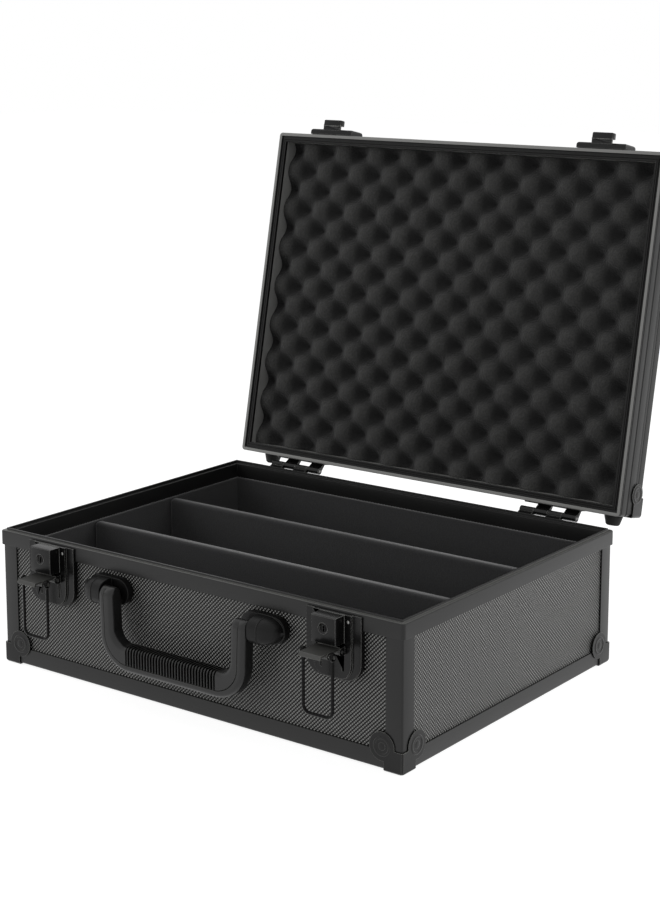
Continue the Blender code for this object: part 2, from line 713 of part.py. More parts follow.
def make_foam(material, lid):
    """The egg-crate foam: its face waves along both axes, so crests and hollows take turns."""
    inset = LID_LINING_INSET + CLEARANCE
    columns = foam_lines(half_x - inset)
    rows = foam_lines(half_y - inset)
    middle = CASE_HEIGHT + (FOAM_VALLEY + FOAM_PEAK) / 2
    swing = (FOAM_VALLEY - FOAM_PEAK) / 2
    shape = bmesh.new()
    waved = []
    for x in columns:
        line = []
        for y in rows:
            wave = cos(2 * pi * x / FOAM_PITCH) * cos(2 * pi * y / FOAM_PITCH)
            line.append(shape.verts.new((x, y, middle - swing * wave)))
        waved.append(line)
    for line, following in zip(waved, waved[1:]):
        for index in range(len(rows) - 1):
            shape.faces.new((line[index], line[index + 1], following[index + 1], following[index]))
    around = [line[0] for line in waved[:-1]] + waved[-1][:-1]
    around += [line[-1] for line in reversed(waved[1:])] + waved[0][:0:-1]
    back = CASE_HEIGHT + lid_lining_high
    behind = [shape.verts.new((vert.co.x, vert.co.y, back)) for vert in around]
    for index, vert in enumerate(around):
        after = (index + 1) % len(around)
        shape.faces.new((vert, around[after], behind[after], behind[index]))
    shape.faces.new(behind)
    bmesh.ops.recalc_face_normals(shape, faces=shape.faces)
    add_piece("lid_foam", piece_mesh("lid_foam", shape, material, lid.location), carrier=lid)


# Handle

def handle_path():
    """Stops from the top of the right arm, down, round the bend, along the grip and up the left arm.

    Each stop is its place, its heading, and what the section there needs: half its width, half its
    depth, and how deep a rib's groove is cut.
    """
    grip = pivot_height - GRIP_DROP
    down = -pi / 2
    right = []
    for step in range(CORNER_STEPS):
        turn = pi / 2 * (step + TOP_TURN_SHARE) / CORNER_STEPS
        right.append((arm_place, pivot_height + ARM_HALF_WIDTH * cos(turn), down,
                      (ARM_HALF_WIDTH, HANDLE_HALF_DEPTH * sin(turn), 0)))
    right.append((arm_place, pivot_height, down, (ARM_HALF_WIDTH, HANDLE_HALF_DEPTH, 0)))
    for step in range(BEND_STEPS + 1):
        turn = pi / 2 * step / BEND_STEPS
        width = ARM_HALF_WIDTH + (GRIP_HALF_WIDTH - ARM_HALF_WIDTH) * step / BEND_STEPS
        x = bend_place + BEND_RADIUS * cos(turn)
        z = grip + BEND_RADIUS - BEND_RADIUS * sin(turn)
        right.append((x, z, down - turn, (width, HANDLE_HALF_DEPTH, 0)))
    left = [(-x, z, -heading, stop) for x, z, heading, stop in reversed(right)]
    ribs = []
    for half_rib in range(2 * rib_count + 1):
        groove = RIB_DEPTH if half_rib % 2 == 0 else 0
        place = RIB_PITCH * (rib_count - half_rib) / 2
        ribs.append((place, grip, -pi, (GRIP_HALF_WIDTH, HANDLE_HALF_DEPTH, groove)))
    return right + ribs + left


def handle_section(stop):
    """The bar's round-cornered section. A groove is cut round it, but not in its outer side."""
    half_width, half_depth, groove = stop
    radius = min(SECTION_RADIUS, half_depth * THIN_ROUND_SHARE)
    points = []
    for across, deep in rounded_rectangle(half_width, half_depth, radius, CORNER_STEPS):
        if across < half_width - radius:
            across = max(across, groove - half_width)
            deep = max(min(deep, half_depth - groove), groove - half_depth)
        points.append((across, front(HANDLE_REACH) + deep))
    return points


def make_handle(material, carrier):
    """The moulded handle: two arms with stub pins at their tops, and a ribbed grip."""
    bar = swept(handle_path(), handle_section)
    centre = (0, front(HANDLE_REACH), pivot_height)
    stub_start = arm_place + ARM_HALF_WIDTH - OVERRUN
    stub_end = arm_place + ARM_HALF_WIDTH + TRUNNION_LENGTH
    stubs = []
    for side in SIDES.values():
        ends = sorted((side * stub_start, side * stub_end))
        stubs.append(rod(TRUNNION_RADIUS, ends, "x", centre, ROUND_SIDES))
    mesh = piece_mesh("handle", combined([bar, *stubs]), material, carrier.location)
    add_piece("handle", mesh, carrier=carrier)


def make_handle_brackets(material):
    """Two pill-shaped plates on the front panel, each with a domed boss round the handle's stub pin."""
    plate_back = front(-panel_outer + CLEARANCE)
    plate_front = front(BRACKET_REACH)
    half = BRACKET_HALF_HEIGHT
    outline = arc((bracket_end - half, pivot_height), half, -pi / 2, pi / 2, 2 * BEND_STEPS)
    outline += arc((bracket_start + half, pivot_height), half, pi / 2, 3 * pi / 2, 2 * BEND_STEPS)
    boss_start = arm_place + ARM_HALF_WIDTH + CLEARANCE
    base_reach = BRACKET_REACH - OVERRUN / 2
    for name, side in SIDES.items():
        rings = []
        for step in range(BEND_STEPS + 2):
            turn = BOSS_END_SHARE * pi / 2 * max(step - 1, 0) / BEND_STEPS
            place = boss_start if step == 0 else boss_start + BOSS_STRAIGHT
            place += (BOSS_LENGTH - BOSS_STRAIGHT) * sin(turn)
            size = cos(turn)
            ring = []
            for across, up in arc((0, 0), 1, 0, pi, 2 * BEND_STEPS):
                squared = 1 - (1 - up) ** BOSS_FULLNESS_SHARE
                reach = base_reach + (BOSS_REACH - base_reach) * size * squared
                ring.append((place, front(reach), pivot_height + half * size * across))
            rings.append(ring)
        boss = loft(rings)
        bore_end = arm_place + ARM_HALF_WIDTH + TRUNNION_LENGTH + CLEARANCE
        ends = (boss_start - OVERRUN, bore_end)
        bore_centre = (0, front(HANDLE_REACH), pivot_height)
        bore = rod(TRUNNION_RADIUS + CLEARANCE, ends, "x", bore_centre, ROUND_SIDES)
        shape = combined([prism(outline, plate_front, plate_back, "xz"), boss], [bore])
        name = "handle_bracket_" + name
        add_piece(name, piece_mesh(name, mirrored(shape, x_side=side), material))


# Latches

def flange_outline(half_width, foot_half, low, high):
    """Straight sides that sweep in to a narrow foot."""
    right = [(half_width, high)]
    for step in range(BEND_STEPS + 1):
        turn = pi / 2 * step / BEND_STEPS
        x = foot_half + (half_width - foot_half) * cos(turn)
        right.append((x, flange_straight - (flange_straight - low) * sin(turn)))
    return right + [(-x, z) for x, z in reversed(right)]


def latch_base_shape():
    """The latch's pressed base: a flange, a raised middle, the lock's housing and the lever's two ears."""
    flange_back = CLEARANCE
    flange_front = flange_back + FLANGE_THICKNESS
    raised_front = flange_front + RAISED_HEIGHT
    backing_back = CLEARANCE - panel_outer
    outline = flange_outline(FLANGE_HALF_WIDTH, FLANGE_FOOT_HALF, flange_low, flange_high)
    backing = flange_outline(FLANGE_HALF_WIDTH, FLANGE_FOOT_HALF, flange_low, skirt_low - 2 * CLEARANCE)
    middle_half = FLANGE_HALF_WIDTH - RAISED_INSET
    raised_low = flange_low + FLANGE_THICKNESS
    middle = flange_outline(middle_half, FLANGE_FOOT_HALF - FLANGE_THICKNESS, raised_low, flange_high)
    housing_face = front(HOUSING_REACH)
    housing = block((-HOUSING_HALF_WIDTH, HOUSING_HALF_WIDTH), (housing_face, front(flange_back + CLEARANCE)),
                    (housing_low, housing_high))
    housing = bevelled(housing, HOUSING_BEVEL, 2, lambda edge: all(
        abs(vert.co.y - housing_face) < MERGE_DISTANCE for vert in edge.verts))
    solids = [
        prism(outline, front(flange_front), front(flange_back), "xz"),
        prism(backing, front(flange_back + CLEARANCE), front(backing_back), "xz"),
        prism(middle, front(raised_front), front(flange_back + CLEARANCE), "xz"),
        housing,
    ]
    ear = [(front(flange_front), lever_height + EAR_RADIUS), (front(flange_front), lever_height - EAR_RADIUS)]
    ear += arc((front(LEVER_REACH), lever_height), EAR_RADIUS, 3 * pi / 2, pi / 2, BEND_STEPS)
    ear_inner = LEVER_HALF_WIDTH + CLEARANCE
    for side in SIDES.values():
        ends = sorted((side * ear_inner, side * (ear_inner + EAR_THICKNESS)))
        solids.append(prism(ear, ends[0], ends[1], "yz"))
    axis = (0, front(LEVER_REACH), lever_height)
    ear_outer = ear_inner + EAR_THICKNESS + OVERRUN
    holes = [rod(LEVER_PIN_RADIUS + CLEARANCE, (-ear_outer, ear_outer), "x", axis)]
    lock_ends = (front(HOUSING_REACH + OVERRUN), front(raised_front + LOCK_FLOOR))
    holes.append(rod(LOCK_RADIUS + CLEARANCE, lock_ends, "y", (0, 0, lock_height), ROUND_SIDES))
    for side in SIDES.values():
        sides = sorted((side * (SLOT_PLACE - SLOT_WIDTH / 2), side * (SLOT_PLACE + SLOT_WIDTH / 2)))
        depth = (front(raised_front + OVERRUN), front(raised_front - SLOT_DEPTH))
        holes.append(block(sides, depth, (slot_low, slot_high)))
    return combined(solids, holes)


def lock_cylinder_shape():
    """The key barrel, with its keyway below its middle."""
    back = CLEARANCE + FLANGE_THICKNESS + RAISED_HEIGHT + LOCK_FLOOR + CLEARANCE
    face = HOUSING_REACH - LOCK_SETBACK
    barrel = rod(LOCK_RADIUS, (front(face), front(back)), "y", (0, 0, lock_height), ROUND_SIDES)
    keyway = block((-KEYWAY_WIDTH / 2, KEYWAY_WIDTH / 2), (front(face + OVERRUN), front(face - KEYWAY_DEPTH)),
                   (lock_height - KEYWAY_LENGTH + LOCK_RADIUS / 2, lock_height + LOCK_RADIUS / 2))
    return combined([barrel], [keyway])


def lever_shape():
    """The lever: a narrowing plate with a lip at its tip, and two rolls below it for its pins."""
    top = lever_height + ROLL_RADIUS
    under = top - LEVER_SHEET
    root = front(LEVER_REACH)
    tip = front(LEVER_REACH + LEVER_LENGTH)
    lip_back = tip + LEVER_SHEET
    outline = [
        (root, top),
        (root, under),
        (lip_back, under),
        (lip_back, top - LEVER_LIP),
        (tip, top - LEVER_LIP),
        (tip, under),
        (tip + LEVER_SHEET / 2, top),
    ]
    plate = prism(outline, -LEVER_HALF_WIDTH, LEVER_HALF_WIDTH, "yz")
    narrowing = (LEVER_HALF_WIDTH - LEVER_TIP_HALF_WIDTH) / LEVER_LENGTH
    for vert in plate.verts:
        vert.co.x *= 1 - narrowing * (root - vert.co.y) / LEVER_HALF_WIDTH
    ends = (-LEVER_HALF_WIDTH, LEVER_HALF_WIDTH)
    bail_y = front(LEVER_REACH + BAIL_ALONG)
    bail_half = LEVER_HALF_WIDTH * (1 - narrowing * BAIL_ALONG / LEVER_HALF_WIDTH)
    rolls = [
        rod(ROLL_RADIUS, ends, "x", (0, root, lever_height), ROUND_SIDES),
        rod(ROLL_RADIUS, (-bail_half, bail_half), "x", (0, bail_y, lever_height), ROUND_SIDES),
    ]
    reach = LEVER_HALF_WIDTH + OVERRUN
    bores = [
        rod(LEVER_PIN_RADIUS + CLEARANCE, (-reach, reach), "x", (0, root, lever_height)),
        rod(BAIL_PIN_RADIUS + CLEARANCE, (-reach, reach), "x", (0, bail_y, lever_height)),
    ]
    return combined([plate, *rolls], bores)


def bail_sizes():
    """The bail wire's place beside the latch's middle, and the reach of its pin."""
    wire_place = LEVER_HALF_WIDTH + CLEARANCE + EAR_THICKNESS + CLEARANCE + BAIL_WIRE_RADIUS
    return wire_place, wire_place + BAIL_WIRE_RADIUS + CLEARANCE


def bail_shape():
    """The wire bail, hanging: two legs with an eye at the top of each, and a bar across the bottom."""
    wire_place = bail_sizes()[0]
    axis_y = front(LEVER_REACH + BAIL_ALONG)
    low = lever_height - bail_length
    down = -pi / 2
    leg_start = lever_height - (BAIL_EYE_RADIUS + BAIL_PIN_RADIUS + CLEARANCE) / 2
    half = [(wire_place, leg_start, down, BAIL_WIRE_RADIUS)]
    centre = (wire_place - BAIL_CORNER_RADIUS, low + BAIL_CORNER_RADIUS)
    for step in range(BEND_STEPS + 1):
        turn = pi / 2 * step / BEND_STEPS
        x = centre[0] + BAIL_CORNER_RADIUS * cos(turn)
        half.append((x, centre[1] - BAIL_CORNER_RADIUS * sin(turn), down - turn, BAIL_WIRE_RADIUS))
    path = half + [(-x, z, -heading, stop) for x, z, heading, stop in reversed(half)]

    def round_section(radius):
        last = 2 * pi * (WIRE_SIDES - 1) / WIRE_SIDES
        return [(x, axis_y + y) for x, y in arc((0, 0), radius, 0, last, WIRE_SIDES - 1)]

    solids = [swept(path, round_section)]
    for side in SIDES.values():
        ends = sorted((side * (wire_place - BAIL_WIRE_RADIUS), side * (wire_place + BAIL_WIRE_RADIUS)))
        bore = BAIL_PIN_RADIUS + CLEARANCE
        solids.append(tube(BAIL_EYE_RADIUS, bore, ends, "x", (0, axis_y, lever_height)))
    return combined(solids)


def make_latches(finishes):
    """Both latches: base, lock cylinder, lever and its pin, bail and its pin."""
    metal = finishes["fitting"]
    lever_axis = Vector((0, front(LEVER_REACH), lever_height))
    bail_axis = Vector((0, front(LEVER_REACH + BAIL_ALONG), lever_height))
    lock_axis = Vector((0, 0, lock_height))
    pin_half = LEVER_HALF_WIDTH + CLEARANCE + EAR_THICKNESS
    bail_pin_half = bail_sizes()[1]
    base = piece_mesh("latch_base", latch_base_shape(), metal)
    pin = piece_mesh("latch_pin", rod(LEVER_PIN_RADIUS, (-pin_half, pin_half), "x", lever_axis), metal)
    lever = piece_mesh("latch_lever", lever_shape(), metal, lever_axis)
    bail_rod = rod(BAIL_PIN_RADIUS, (-bail_pin_half, bail_pin_half), "x", bail_axis)
    bail_pin = piece_mesh("bail_pin", bail_rod, metal, bail_axis)
    bail = piece_mesh("latch_bail", bail_shape(), metal, bail_axis)
    lock = piece_mesh("lock_cylinder", lock_cylinder_shape(), metal, lock_axis)
    for side_name, side in SIDES.items():
        across = Vector((side * latch_place, 0, 0))
        add_piece("latch_base_" + side_name, base, across)
        add_piece("latch_pin_" + side_name, pin, across)
        lever_carrier = add_axis("lever_axis_" + side_name, across + lever_axis)
        bail_carrier = add_axis("bail_axis_" + side_name, across + bail_axis)
        lock_carrier = add_axis("lock_axis_" + side_name, across + lock_axis)
        add_piece("latch_lever_" + side_name, lever, carrier=lever_carrier)
        add_piece("bail_pin_" + side_name, bail_pin, carrier=bail_carrier)
        add_piece("latch_bail_" + side_name, bail, carrier=bail_carrier)
        add_piece("lock_cylinder_" + side_name, lock, carrier=lock_carrier)


def striker_shape():
    """The striker: a rounded plate on the lid's front with a hook whose head hangs over the bail's bar."""
    low = CASE_HEIGHT + LID_GAP + CLEARANCE
    plate_face = front(CLEARANCE + STRIKER_THICKNESS)
    plate = block((-STRIKER_HALF_WIDTH, STRIKER_HALF_WIDTH), (plate_face, front(CLEARANCE)),
                  (low, low + STRIKER_HEIGHT))
    plate = bevelled(plate, STRIKER_ROUNDING, CORNER_STEPS, lambda edge: all(
        abs(vert.co.y - plate_face) < MERGE_DISTANCE for vert in edge.verts))
    head_start = LEVER_REACH + BAIL_WIRE_RADIUS + CLEARANCE
    stem_ends = (front(head_start + HOOK_ROUNDING), front(CLEARANCE + STRIKER_THICKNESS / 2))
    stem = block((-HOOK_HALF_WIDTH, HOOK_HALF_WIDTH), stem_ends, (hook_stem_low, hook_stem_high))
    head = block((-HOOK_HALF_WIDTH, HOOK_HALF_WIDTH), (front(HOOK_REACH), front(head_start)),
                 (low, low + HOOK_HEAD_HEIGHT))
    head = bevelled(head, HOOK_ROUNDING, 2, lambda edge: any(
        abs(vert.co.y - front(HOOK_REACH)) < MERGE_DISTANCE for vert in edge.verts))
    return combined([plate, stem, head])


def make_strikers(material, lid):
    """A striker above each latch."""
    mesh = piece_mesh("striker", striker_shape(), material, lid.location)
    for side_name, side in SIDES.items():
        add_piece("striker_" + side_name, mesh, (side * latch_place, 0, 0), lid)


# Hinges

def knuckle_ends(index):
    """Where one knuckle starts and ends along the hinge."""
    length = (HINGE_WIDTH - (HINGE_KNUCKLES - 1) * CLEARANCE) / HINGE_KNUCKLES
    start = -HINGE_WIDTH / 2 + index * (length + CLEARANCE)
    return start, start + length


def hinge_leaf_shape(plate, first_knuckle, rise, plate_end):
    """A leaf: its plate, and an arm and a barrel at every other knuckle. Rise is 1 for the lid's leaf."""
    axis = (0, hinge_y, hinge_z)
    solids = [prism(plate, -HINGE_WIDTH / 2, HINGE_WIDTH / 2, "yz")]
    face = half_y + CLEARANCE + HINGE_SHEET / 2
    hold = HINGE_BARREL * ARM_HOLD_SHARE
    arm = [
        (face, hinge_z + rise * HINGE_ARM),
        (hinge_y, hinge_z + rise * hold),
        (hinge_y - hold, hinge_z),
        (face, plate_end),
    ]
    for index in range(first_knuckle, HINGE_KNUCKLES, 2):
        start, end = knuckle_ends(index)
        solids.append(prism(arm, start, end, "yz"))
        solids.append(tube(HINGE_BARREL, HINGE_PIN_RADIUS + CLEARANCE, (start, end), "x", axis))
    return combined(solids)


def make_hinges(material, lid):
    """Both hinges: the case's leaf, the lid's leaf and the pin."""
    rim_face = half_y + CLEARANCE
    wall_face = half_y - panel_outer + CLEARANCE
    top = CASE_HEIGHT - HINGE_TOP_DROP
    foot = CASE_HEIGHT - HINGE_LOW_DROP
    step_high = skirt_low - 2 * CLEARANCE
    step_low = step_high - HINGE_SHEET
    lower_plate = [
        (rim_face, top),
        (rim_face, step_high),
        (wall_face, step_low),
        (wall_face, foot),
        (wall_face + HINGE_SHEET, foot),
        (wall_face + HINGE_SHEET, step_low - HINGE_SHEET),
        (rim_face + HINGE_SHEET, step_high - HINGE_SHEET),
        (rim_face + HINGE_SHEET, top),
    ]
    upper_low = CASE_HEIGHT + HINGE_UPPER_START
    upper_high = CASE_HEIGHT + HINGE_UPPER_END
    upper_plate = [
        (rim_face, upper_low),
        (rim_face + HINGE_SHEET, upper_low),
        (rim_face + HINGE_SHEET, upper_high),
        (rim_face, upper_high),
    ]
    lower = piece_mesh("hinge_lower_leaf", hinge_leaf_shape(lower_plate, 0, -1, top), material)
    upper_shape = hinge_leaf_shape(upper_plate, 1, 1, upper_low)
    upper = piece_mesh("hinge_upper_leaf", upper_shape, material, lid.location)
    pin_shape = rod(HINGE_PIN_RADIUS, (-HINGE_WIDTH / 2, HINGE_WIDTH / 2), "x", (0, hinge_y, hinge_z))
    pin = piece_mesh("hinge_pin", pin_shape, material)
    for side_name, side in SIDES.items():
        across = (side * hinge_place, 0, 0)
        add_piece("hinge_lower_leaf_" + side_name, lower, across)
        add_piece("hinge_upper_leaf_" + side_name, upper, across, lid)
        add_piece("hinge_pin_" + side_name, pin, across)


# Feet

def foot_shape(start, centre_x, centre_z):
    """A tapered rubber foot that reaches back from the place where it starts."""
    tip = half_y + FOOT_TIP_STANDOFF
    profile = [
        (FOOT_ROOT_RADIUS, start),
        (FOOT_TIP_RADIUS, tip - FOOT_ROUNDING),
        (FOOT_TIP_RADIUS - FOOT_ROUNDING, tip),
    ]
    return turned(profile, "y", (centre_x, 0, centre_z), ROUND_SIDES)


def make_feet(material, lid):
    """Two feet on the back bottom caps and two on the lid's back caps, with all four tips in one plane."""
    case_start = half_y - GUARD_INSET + CLEARANCE
    case_x = half_x - GUARD_INSET - CAP_LOBE_PLACE
    lid_start = half_y - lid_cap_outer + CLEARANCE
    lid_x = half_x - lid_cap_outer - SIDE_LOBE_ALONG
    lid_z = CASE_HEIGHT + lid_cap_top - SIDE_LOBE_DOWN
    for side_name, side in SIDES.items():
        shape = foot_shape(case_start, side * case_x, CAP_LOBE_PLACE)
        name = "case_foot_" + side_name
        add_piece(name, piece_mesh(name, shape, material))
        shape = foot_shape(lid_start, side * lid_x, lid_z)
        name = "lid_foot_" + side_name
        add_piece(name, piece_mesh(name, shape, material, lid.location), carrier=lid)


for leftover in list(bpy.data.objects):
    bpy.data.objects.remove(leftover, do_unlink=True)

finishes = make_finishes()
lid_axis = add_axis("lid_axis", (0, hinge_y, hinge_z), -LID_OPEN)
handle_axis = add_axis("handle_axis", (0, front(HANDLE_REACH), pivot_height))
make_panels(finishes["panel"])
make_lower_rim(finishes["extrusion"])
make_corner_posts(finishes["extrusion"])
make_bottom_edges(finishes["extrusion"])
make_linings(finishes["lining"], finishes["foam"])
make_caps(finishes["cap"], lid_axis)
make_lid_rim(finishes["extrusion"], lid_axis)
make_lid_edge(finishes["extrusion"], lid_axis)
make_lid_panel(finishes["panel"], lid_axis)
make_lid_lining(finishes["lining"], lid_axis)
make_foam(finishes["foam"], lid_axis)
make_handle(finishes["plastic"], handle_axis)
make_handle_brackets(finishes["plastic"])
make_latches(finishes)
make_strikers(finishes["fitting"], lid_axis)
make_hinges(finishes["fitting"], lid_axis)
make_feet(finishes["rubber"], lid_axis)
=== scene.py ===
# A black hard case with an aluminium frame, open, with its lid leaning back on two hinges.
# X runs to the right, Y to the back and Z up, in metres. An inset is measured inwards from the rim's outer
# faces, and a reach outwards from its front face. The lid's pieces are worked out shut, then leaned back.

import math

import bmesh
import bpy
import numpy as np
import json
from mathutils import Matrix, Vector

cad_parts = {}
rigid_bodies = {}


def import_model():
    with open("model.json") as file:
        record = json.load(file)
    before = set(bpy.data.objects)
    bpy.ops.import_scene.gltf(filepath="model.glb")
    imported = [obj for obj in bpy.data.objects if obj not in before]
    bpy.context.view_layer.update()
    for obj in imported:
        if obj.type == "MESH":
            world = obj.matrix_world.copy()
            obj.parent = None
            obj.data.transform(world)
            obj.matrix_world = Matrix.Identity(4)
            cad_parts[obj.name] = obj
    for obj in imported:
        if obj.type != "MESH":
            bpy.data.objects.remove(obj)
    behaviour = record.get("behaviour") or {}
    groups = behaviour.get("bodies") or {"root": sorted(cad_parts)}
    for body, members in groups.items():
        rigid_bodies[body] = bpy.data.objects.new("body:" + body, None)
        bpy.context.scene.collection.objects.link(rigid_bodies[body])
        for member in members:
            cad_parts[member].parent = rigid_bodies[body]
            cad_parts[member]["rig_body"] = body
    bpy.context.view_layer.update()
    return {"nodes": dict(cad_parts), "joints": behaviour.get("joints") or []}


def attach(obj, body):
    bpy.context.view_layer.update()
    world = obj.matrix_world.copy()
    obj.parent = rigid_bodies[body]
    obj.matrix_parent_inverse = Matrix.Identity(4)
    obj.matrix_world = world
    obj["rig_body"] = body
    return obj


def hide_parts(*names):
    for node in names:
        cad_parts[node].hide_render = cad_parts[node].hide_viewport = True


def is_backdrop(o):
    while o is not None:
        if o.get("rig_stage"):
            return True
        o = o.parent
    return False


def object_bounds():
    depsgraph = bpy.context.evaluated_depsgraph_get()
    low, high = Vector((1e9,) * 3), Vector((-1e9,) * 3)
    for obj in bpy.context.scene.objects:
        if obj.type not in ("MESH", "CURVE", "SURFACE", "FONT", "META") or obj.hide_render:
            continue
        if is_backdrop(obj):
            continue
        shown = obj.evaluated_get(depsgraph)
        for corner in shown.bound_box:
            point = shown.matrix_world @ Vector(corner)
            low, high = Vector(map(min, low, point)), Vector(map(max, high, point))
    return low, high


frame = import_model()
nodes = frame["nodes"]

# Camera: a long lens at the right front corner, a little higher than the open lid. The lens's shift keeps
# upright lines near upright.
sensor_width = 36
lens_length = 75.8
lens_shift = -0.111
camera_place = (0.9124, -1.1804, 0.5332)
camera_down = math.radians(10.35)
camera_turn = math.radians(36.99)

camera = bpy.data.objects.new("camera", bpy.data.cameras.new("camera"))
camera.data.sensor_width = sensor_width
camera.data.lens = lens_length
camera.data.shift_y = lens_shift
camera.location = camera_place
camera.rotation_euler = (math.pi / 2 - camera_down, 0, camera_turn)
bpy.context.scene.collection.objects.link(camera)
bpy.context.scene.camera = camera
bpy.context.scene.view_settings.view_transform = "Standard"


# Studio: a white floor under a white sky, one soft lamp at the left front and one at the right, a little
# behind. The sky and the floor show white to the camera and in reflections, and the floor keeps the case's
# shadow. The lamps stay out of reflections, so that no gloss burns out where a flat face would mirror one.
srgb_toe = 0.04045
srgb_toe_slope = 12.92
srgb_offset = 0.055
srgb_power = 2.4
white = "#ffffff"
floor_grey = "#a8a8a8"
floor_half = 6
floor_glow = 0.86
sky_strength = 0.40
lamp_size = 1.1
lamp_distance = 2.2
lamp_aim = (0, 0, 0.15)
# Each lamp's name, watts, and direction from what it aims at.
lamps = (("lamp_left_front", 18, (-0.62, -0.72, 0.34)), ("lamp_right", 30, (0.78, 0.52, 0.30)))


def linear(code):
    """A hex colour as linear light: its toe is divided by a slope, and the rest is raised to a power."""
    channels = np.array([int(code[place:place + 2], 16) for place in (1, 3, 5)]) / 255
    curved = ((channels + srgb_offset) / (1 + srgb_offset)) ** srgb_power
    return (*np.where(channels <= srgb_toe, channels / srgb_toe_slope, curved), 1)


def add(tree, kind, inputs=(), **settings):
    """One shader node of a kind, with its settings. Each input is set to a value, or linked from a socket or
    from the first output of another node."""
    node = tree.nodes.new("ShaderNode" + kind)
    for name, value in settings.items():
        setattr(node, name, value)
    for name, value in dict(inputs).items():
        if isinstance(value, bpy.types.Node):
            value = value.outputs[0]
        if isinstance(value, bpy.types.NodeSocket):
            tree.links.new(value, node.inputs[name])
        else:
            node.inputs[name].default_value = value
    return node


def new_tree(name):
    """A new material, its node tree, and the place of each point of the piece that wears it."""
    material = bpy.data.materials.new(name)
    material.use_nodes = True
    tree = material.node_tree
    tree.nodes.clear()
    return material, tree, add(tree, "TexCoord").outputs["Object"]


def seen_directly(tree):
    """One for a ray that comes from the camera, from a gloss or through glass, and nothing for any other."""
    rays = add(tree, "LightPath").outputs
    plain = add(tree, "Math", {0: rays["Is Camera Ray"], 1: rays["Is Glossy Ray"]}, operation="MAXIMUM")
    return add(tree, "Math", {0: plain, 1: rays["Is Transmission Ray"]}, operation="MAXIMUM")


floor_material, tree = new_tree("white_paper_sweep")[:2]
paper = add(tree, "BsdfDiffuse", {"Color": linear(floor_grey)})
glow = add(tree, "Emission", {"Color": linear(white), "Strength": floor_glow})
lit = add(tree, "AddShader", {0: paper, 1: glow})
shown = add(tree, "MixShader", {0: seen_directly(tree), 1: paper, 2: lit})
add(tree, "OutputMaterial", {"Surface": shown})
floor_mesh = bpy.data.meshes.new("floor")
floor_corners = [(floor_half * x, floor_half * y, 0) for x, y in ((-1, -1), (1, -1), (1, 1), (-1, 1))]
floor_mesh.from_pydata(floor_corners, [], [(0, 1, 2, 3)])
floor_mesh.materials.append(floor_material)
floor = bpy.data.objects.new("floor", floor_mesh)
bpy.context.scene.collection.objects.link(floor)
floor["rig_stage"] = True

sky = bpy.data.worlds.new("white_sky")
sky.use_nodes = True
sky.node_tree.nodes.clear()
tree = sky.node_tree
strength = add(tree, "MapRange", {"Value": seen_directly(tree), "To Min": sky_strength, "To Max": 1})
light = add(tree, "Background", {"Color": linear(white), "Strength": strength})
add(tree, "OutputWorld", {"Surface": light})
bpy.context.scene.world = sky

for name, power, direction in lamps:
    lamp = bpy.data.objects.new(name, bpy.data.lights.new(name, "AREA"))
    lamp.data.energy = power
    lamp.data.size = lamp_size
    lamp.visible_glossy = False
    direction = np.array(direction) / np.linalg.norm(direction)
    lamp.location = np.array(lamp_aim) + lamp_distance * direction
    lamp.rotation_euler = (math.acos(direction[2]), 0, math.atan2(direction[0], -direction[1]))
    bpy.context.scene.collection.objects.link(lamp)


# Lower rim: one aluminium extrusion bent round the mouth, anodised black, with a slot below that takes the
# wall boards and a thin tongue on top that runs in the lid's groove.
half_x = 0.200
half_y = 0.150
case_height = 0.112
rim_width = 0.0081
rim_skirt = 0.0118
rim_inner_skirt = 0.0130
rim_web = 0.0045
rim_ledge_drop = 0.0007
rim_edge = 0.0004
rim_corner_radius = 0.0030
inner_corner_radius = 0.0004
tongue_inset = 0.0036
tongue_thickness = 0.0012
tongue_height = 0.0016
lip_depth = 0.0002
rim_chamfer = 0.0007
leaf_inner = 0.0027
lining_outer = 0.0069
edge_softness = 0.00025
corner_steps = 8
soft_steps = 4
cut_share = 1 / 3
merge_distance = 0.000002
sharp_angle = math.radians(38)

anodised_black = "#121212"
anodised_wear_and_highlight = "#333332"
anodised_roughness = 0.34
anodised_gloss = 0.34
# The lip's colours, painted paler than the rest: dye thinned by wear, and a painted highlight.
rubbed_painted_highlight_black = "#4c4c4a"
rubbed_wear_and_highlight = "#7a7a78"
bevel_samples = 4
wear_and_highlight_cosine = 0.86
wear_and_highlight_reach = 0.0005
dye_share = 0.25
etch_grain = 0.0006
die_line = 0.0004
die_run = 0.060
etch_depth = 0.00002
rim_half = np.array([half_x, half_y])


def softened(corners, radius):
    """A closed outline with round corners: each becomes a quadratic curve between points on its two edges."""
    corners = np.array(corners, float)
    share = np.linspace(0, 1, soft_steps)[None, :, None]
    cuts = []
    for beside in (np.roll(corners, 1, axis=0), np.roll(corners, -1, axis=0)):
        edge = beside - corners
        length = np.linalg.norm(edge, axis=1, keepdims=True)
        cuts.append(corners + edge * np.minimum(radius / length, cut_share))
    start, end = cuts[0][:, None], cuts[1][:, None]
    curve = (1 - share) ** 2 * start + 2 * share * (1 - share) * corners[:, None] + share ** 2 * end
    return curve.reshape(-1, 2)


def round_box(half_across, half_up, radius, steps):
    """A box's outline with round corners: corner's sign x (half size - radius) + radius x cos or sin of the
    turn."""
    start = math.pi / 2 * np.arange(4)[:, None]
    turn = (np.linspace(0, math.pi / 2, steps) + start).ravel()
    middle = np.repeat(math.pi / 4 + start.ravel(), steps)
    across = np.sign(np.cos(middle)) * (half_across - radius) + radius * np.cos(turn)
    up = np.sign(np.sin(middle)) * (half_up - radius) + radius * np.sin(turn)
    return across, up


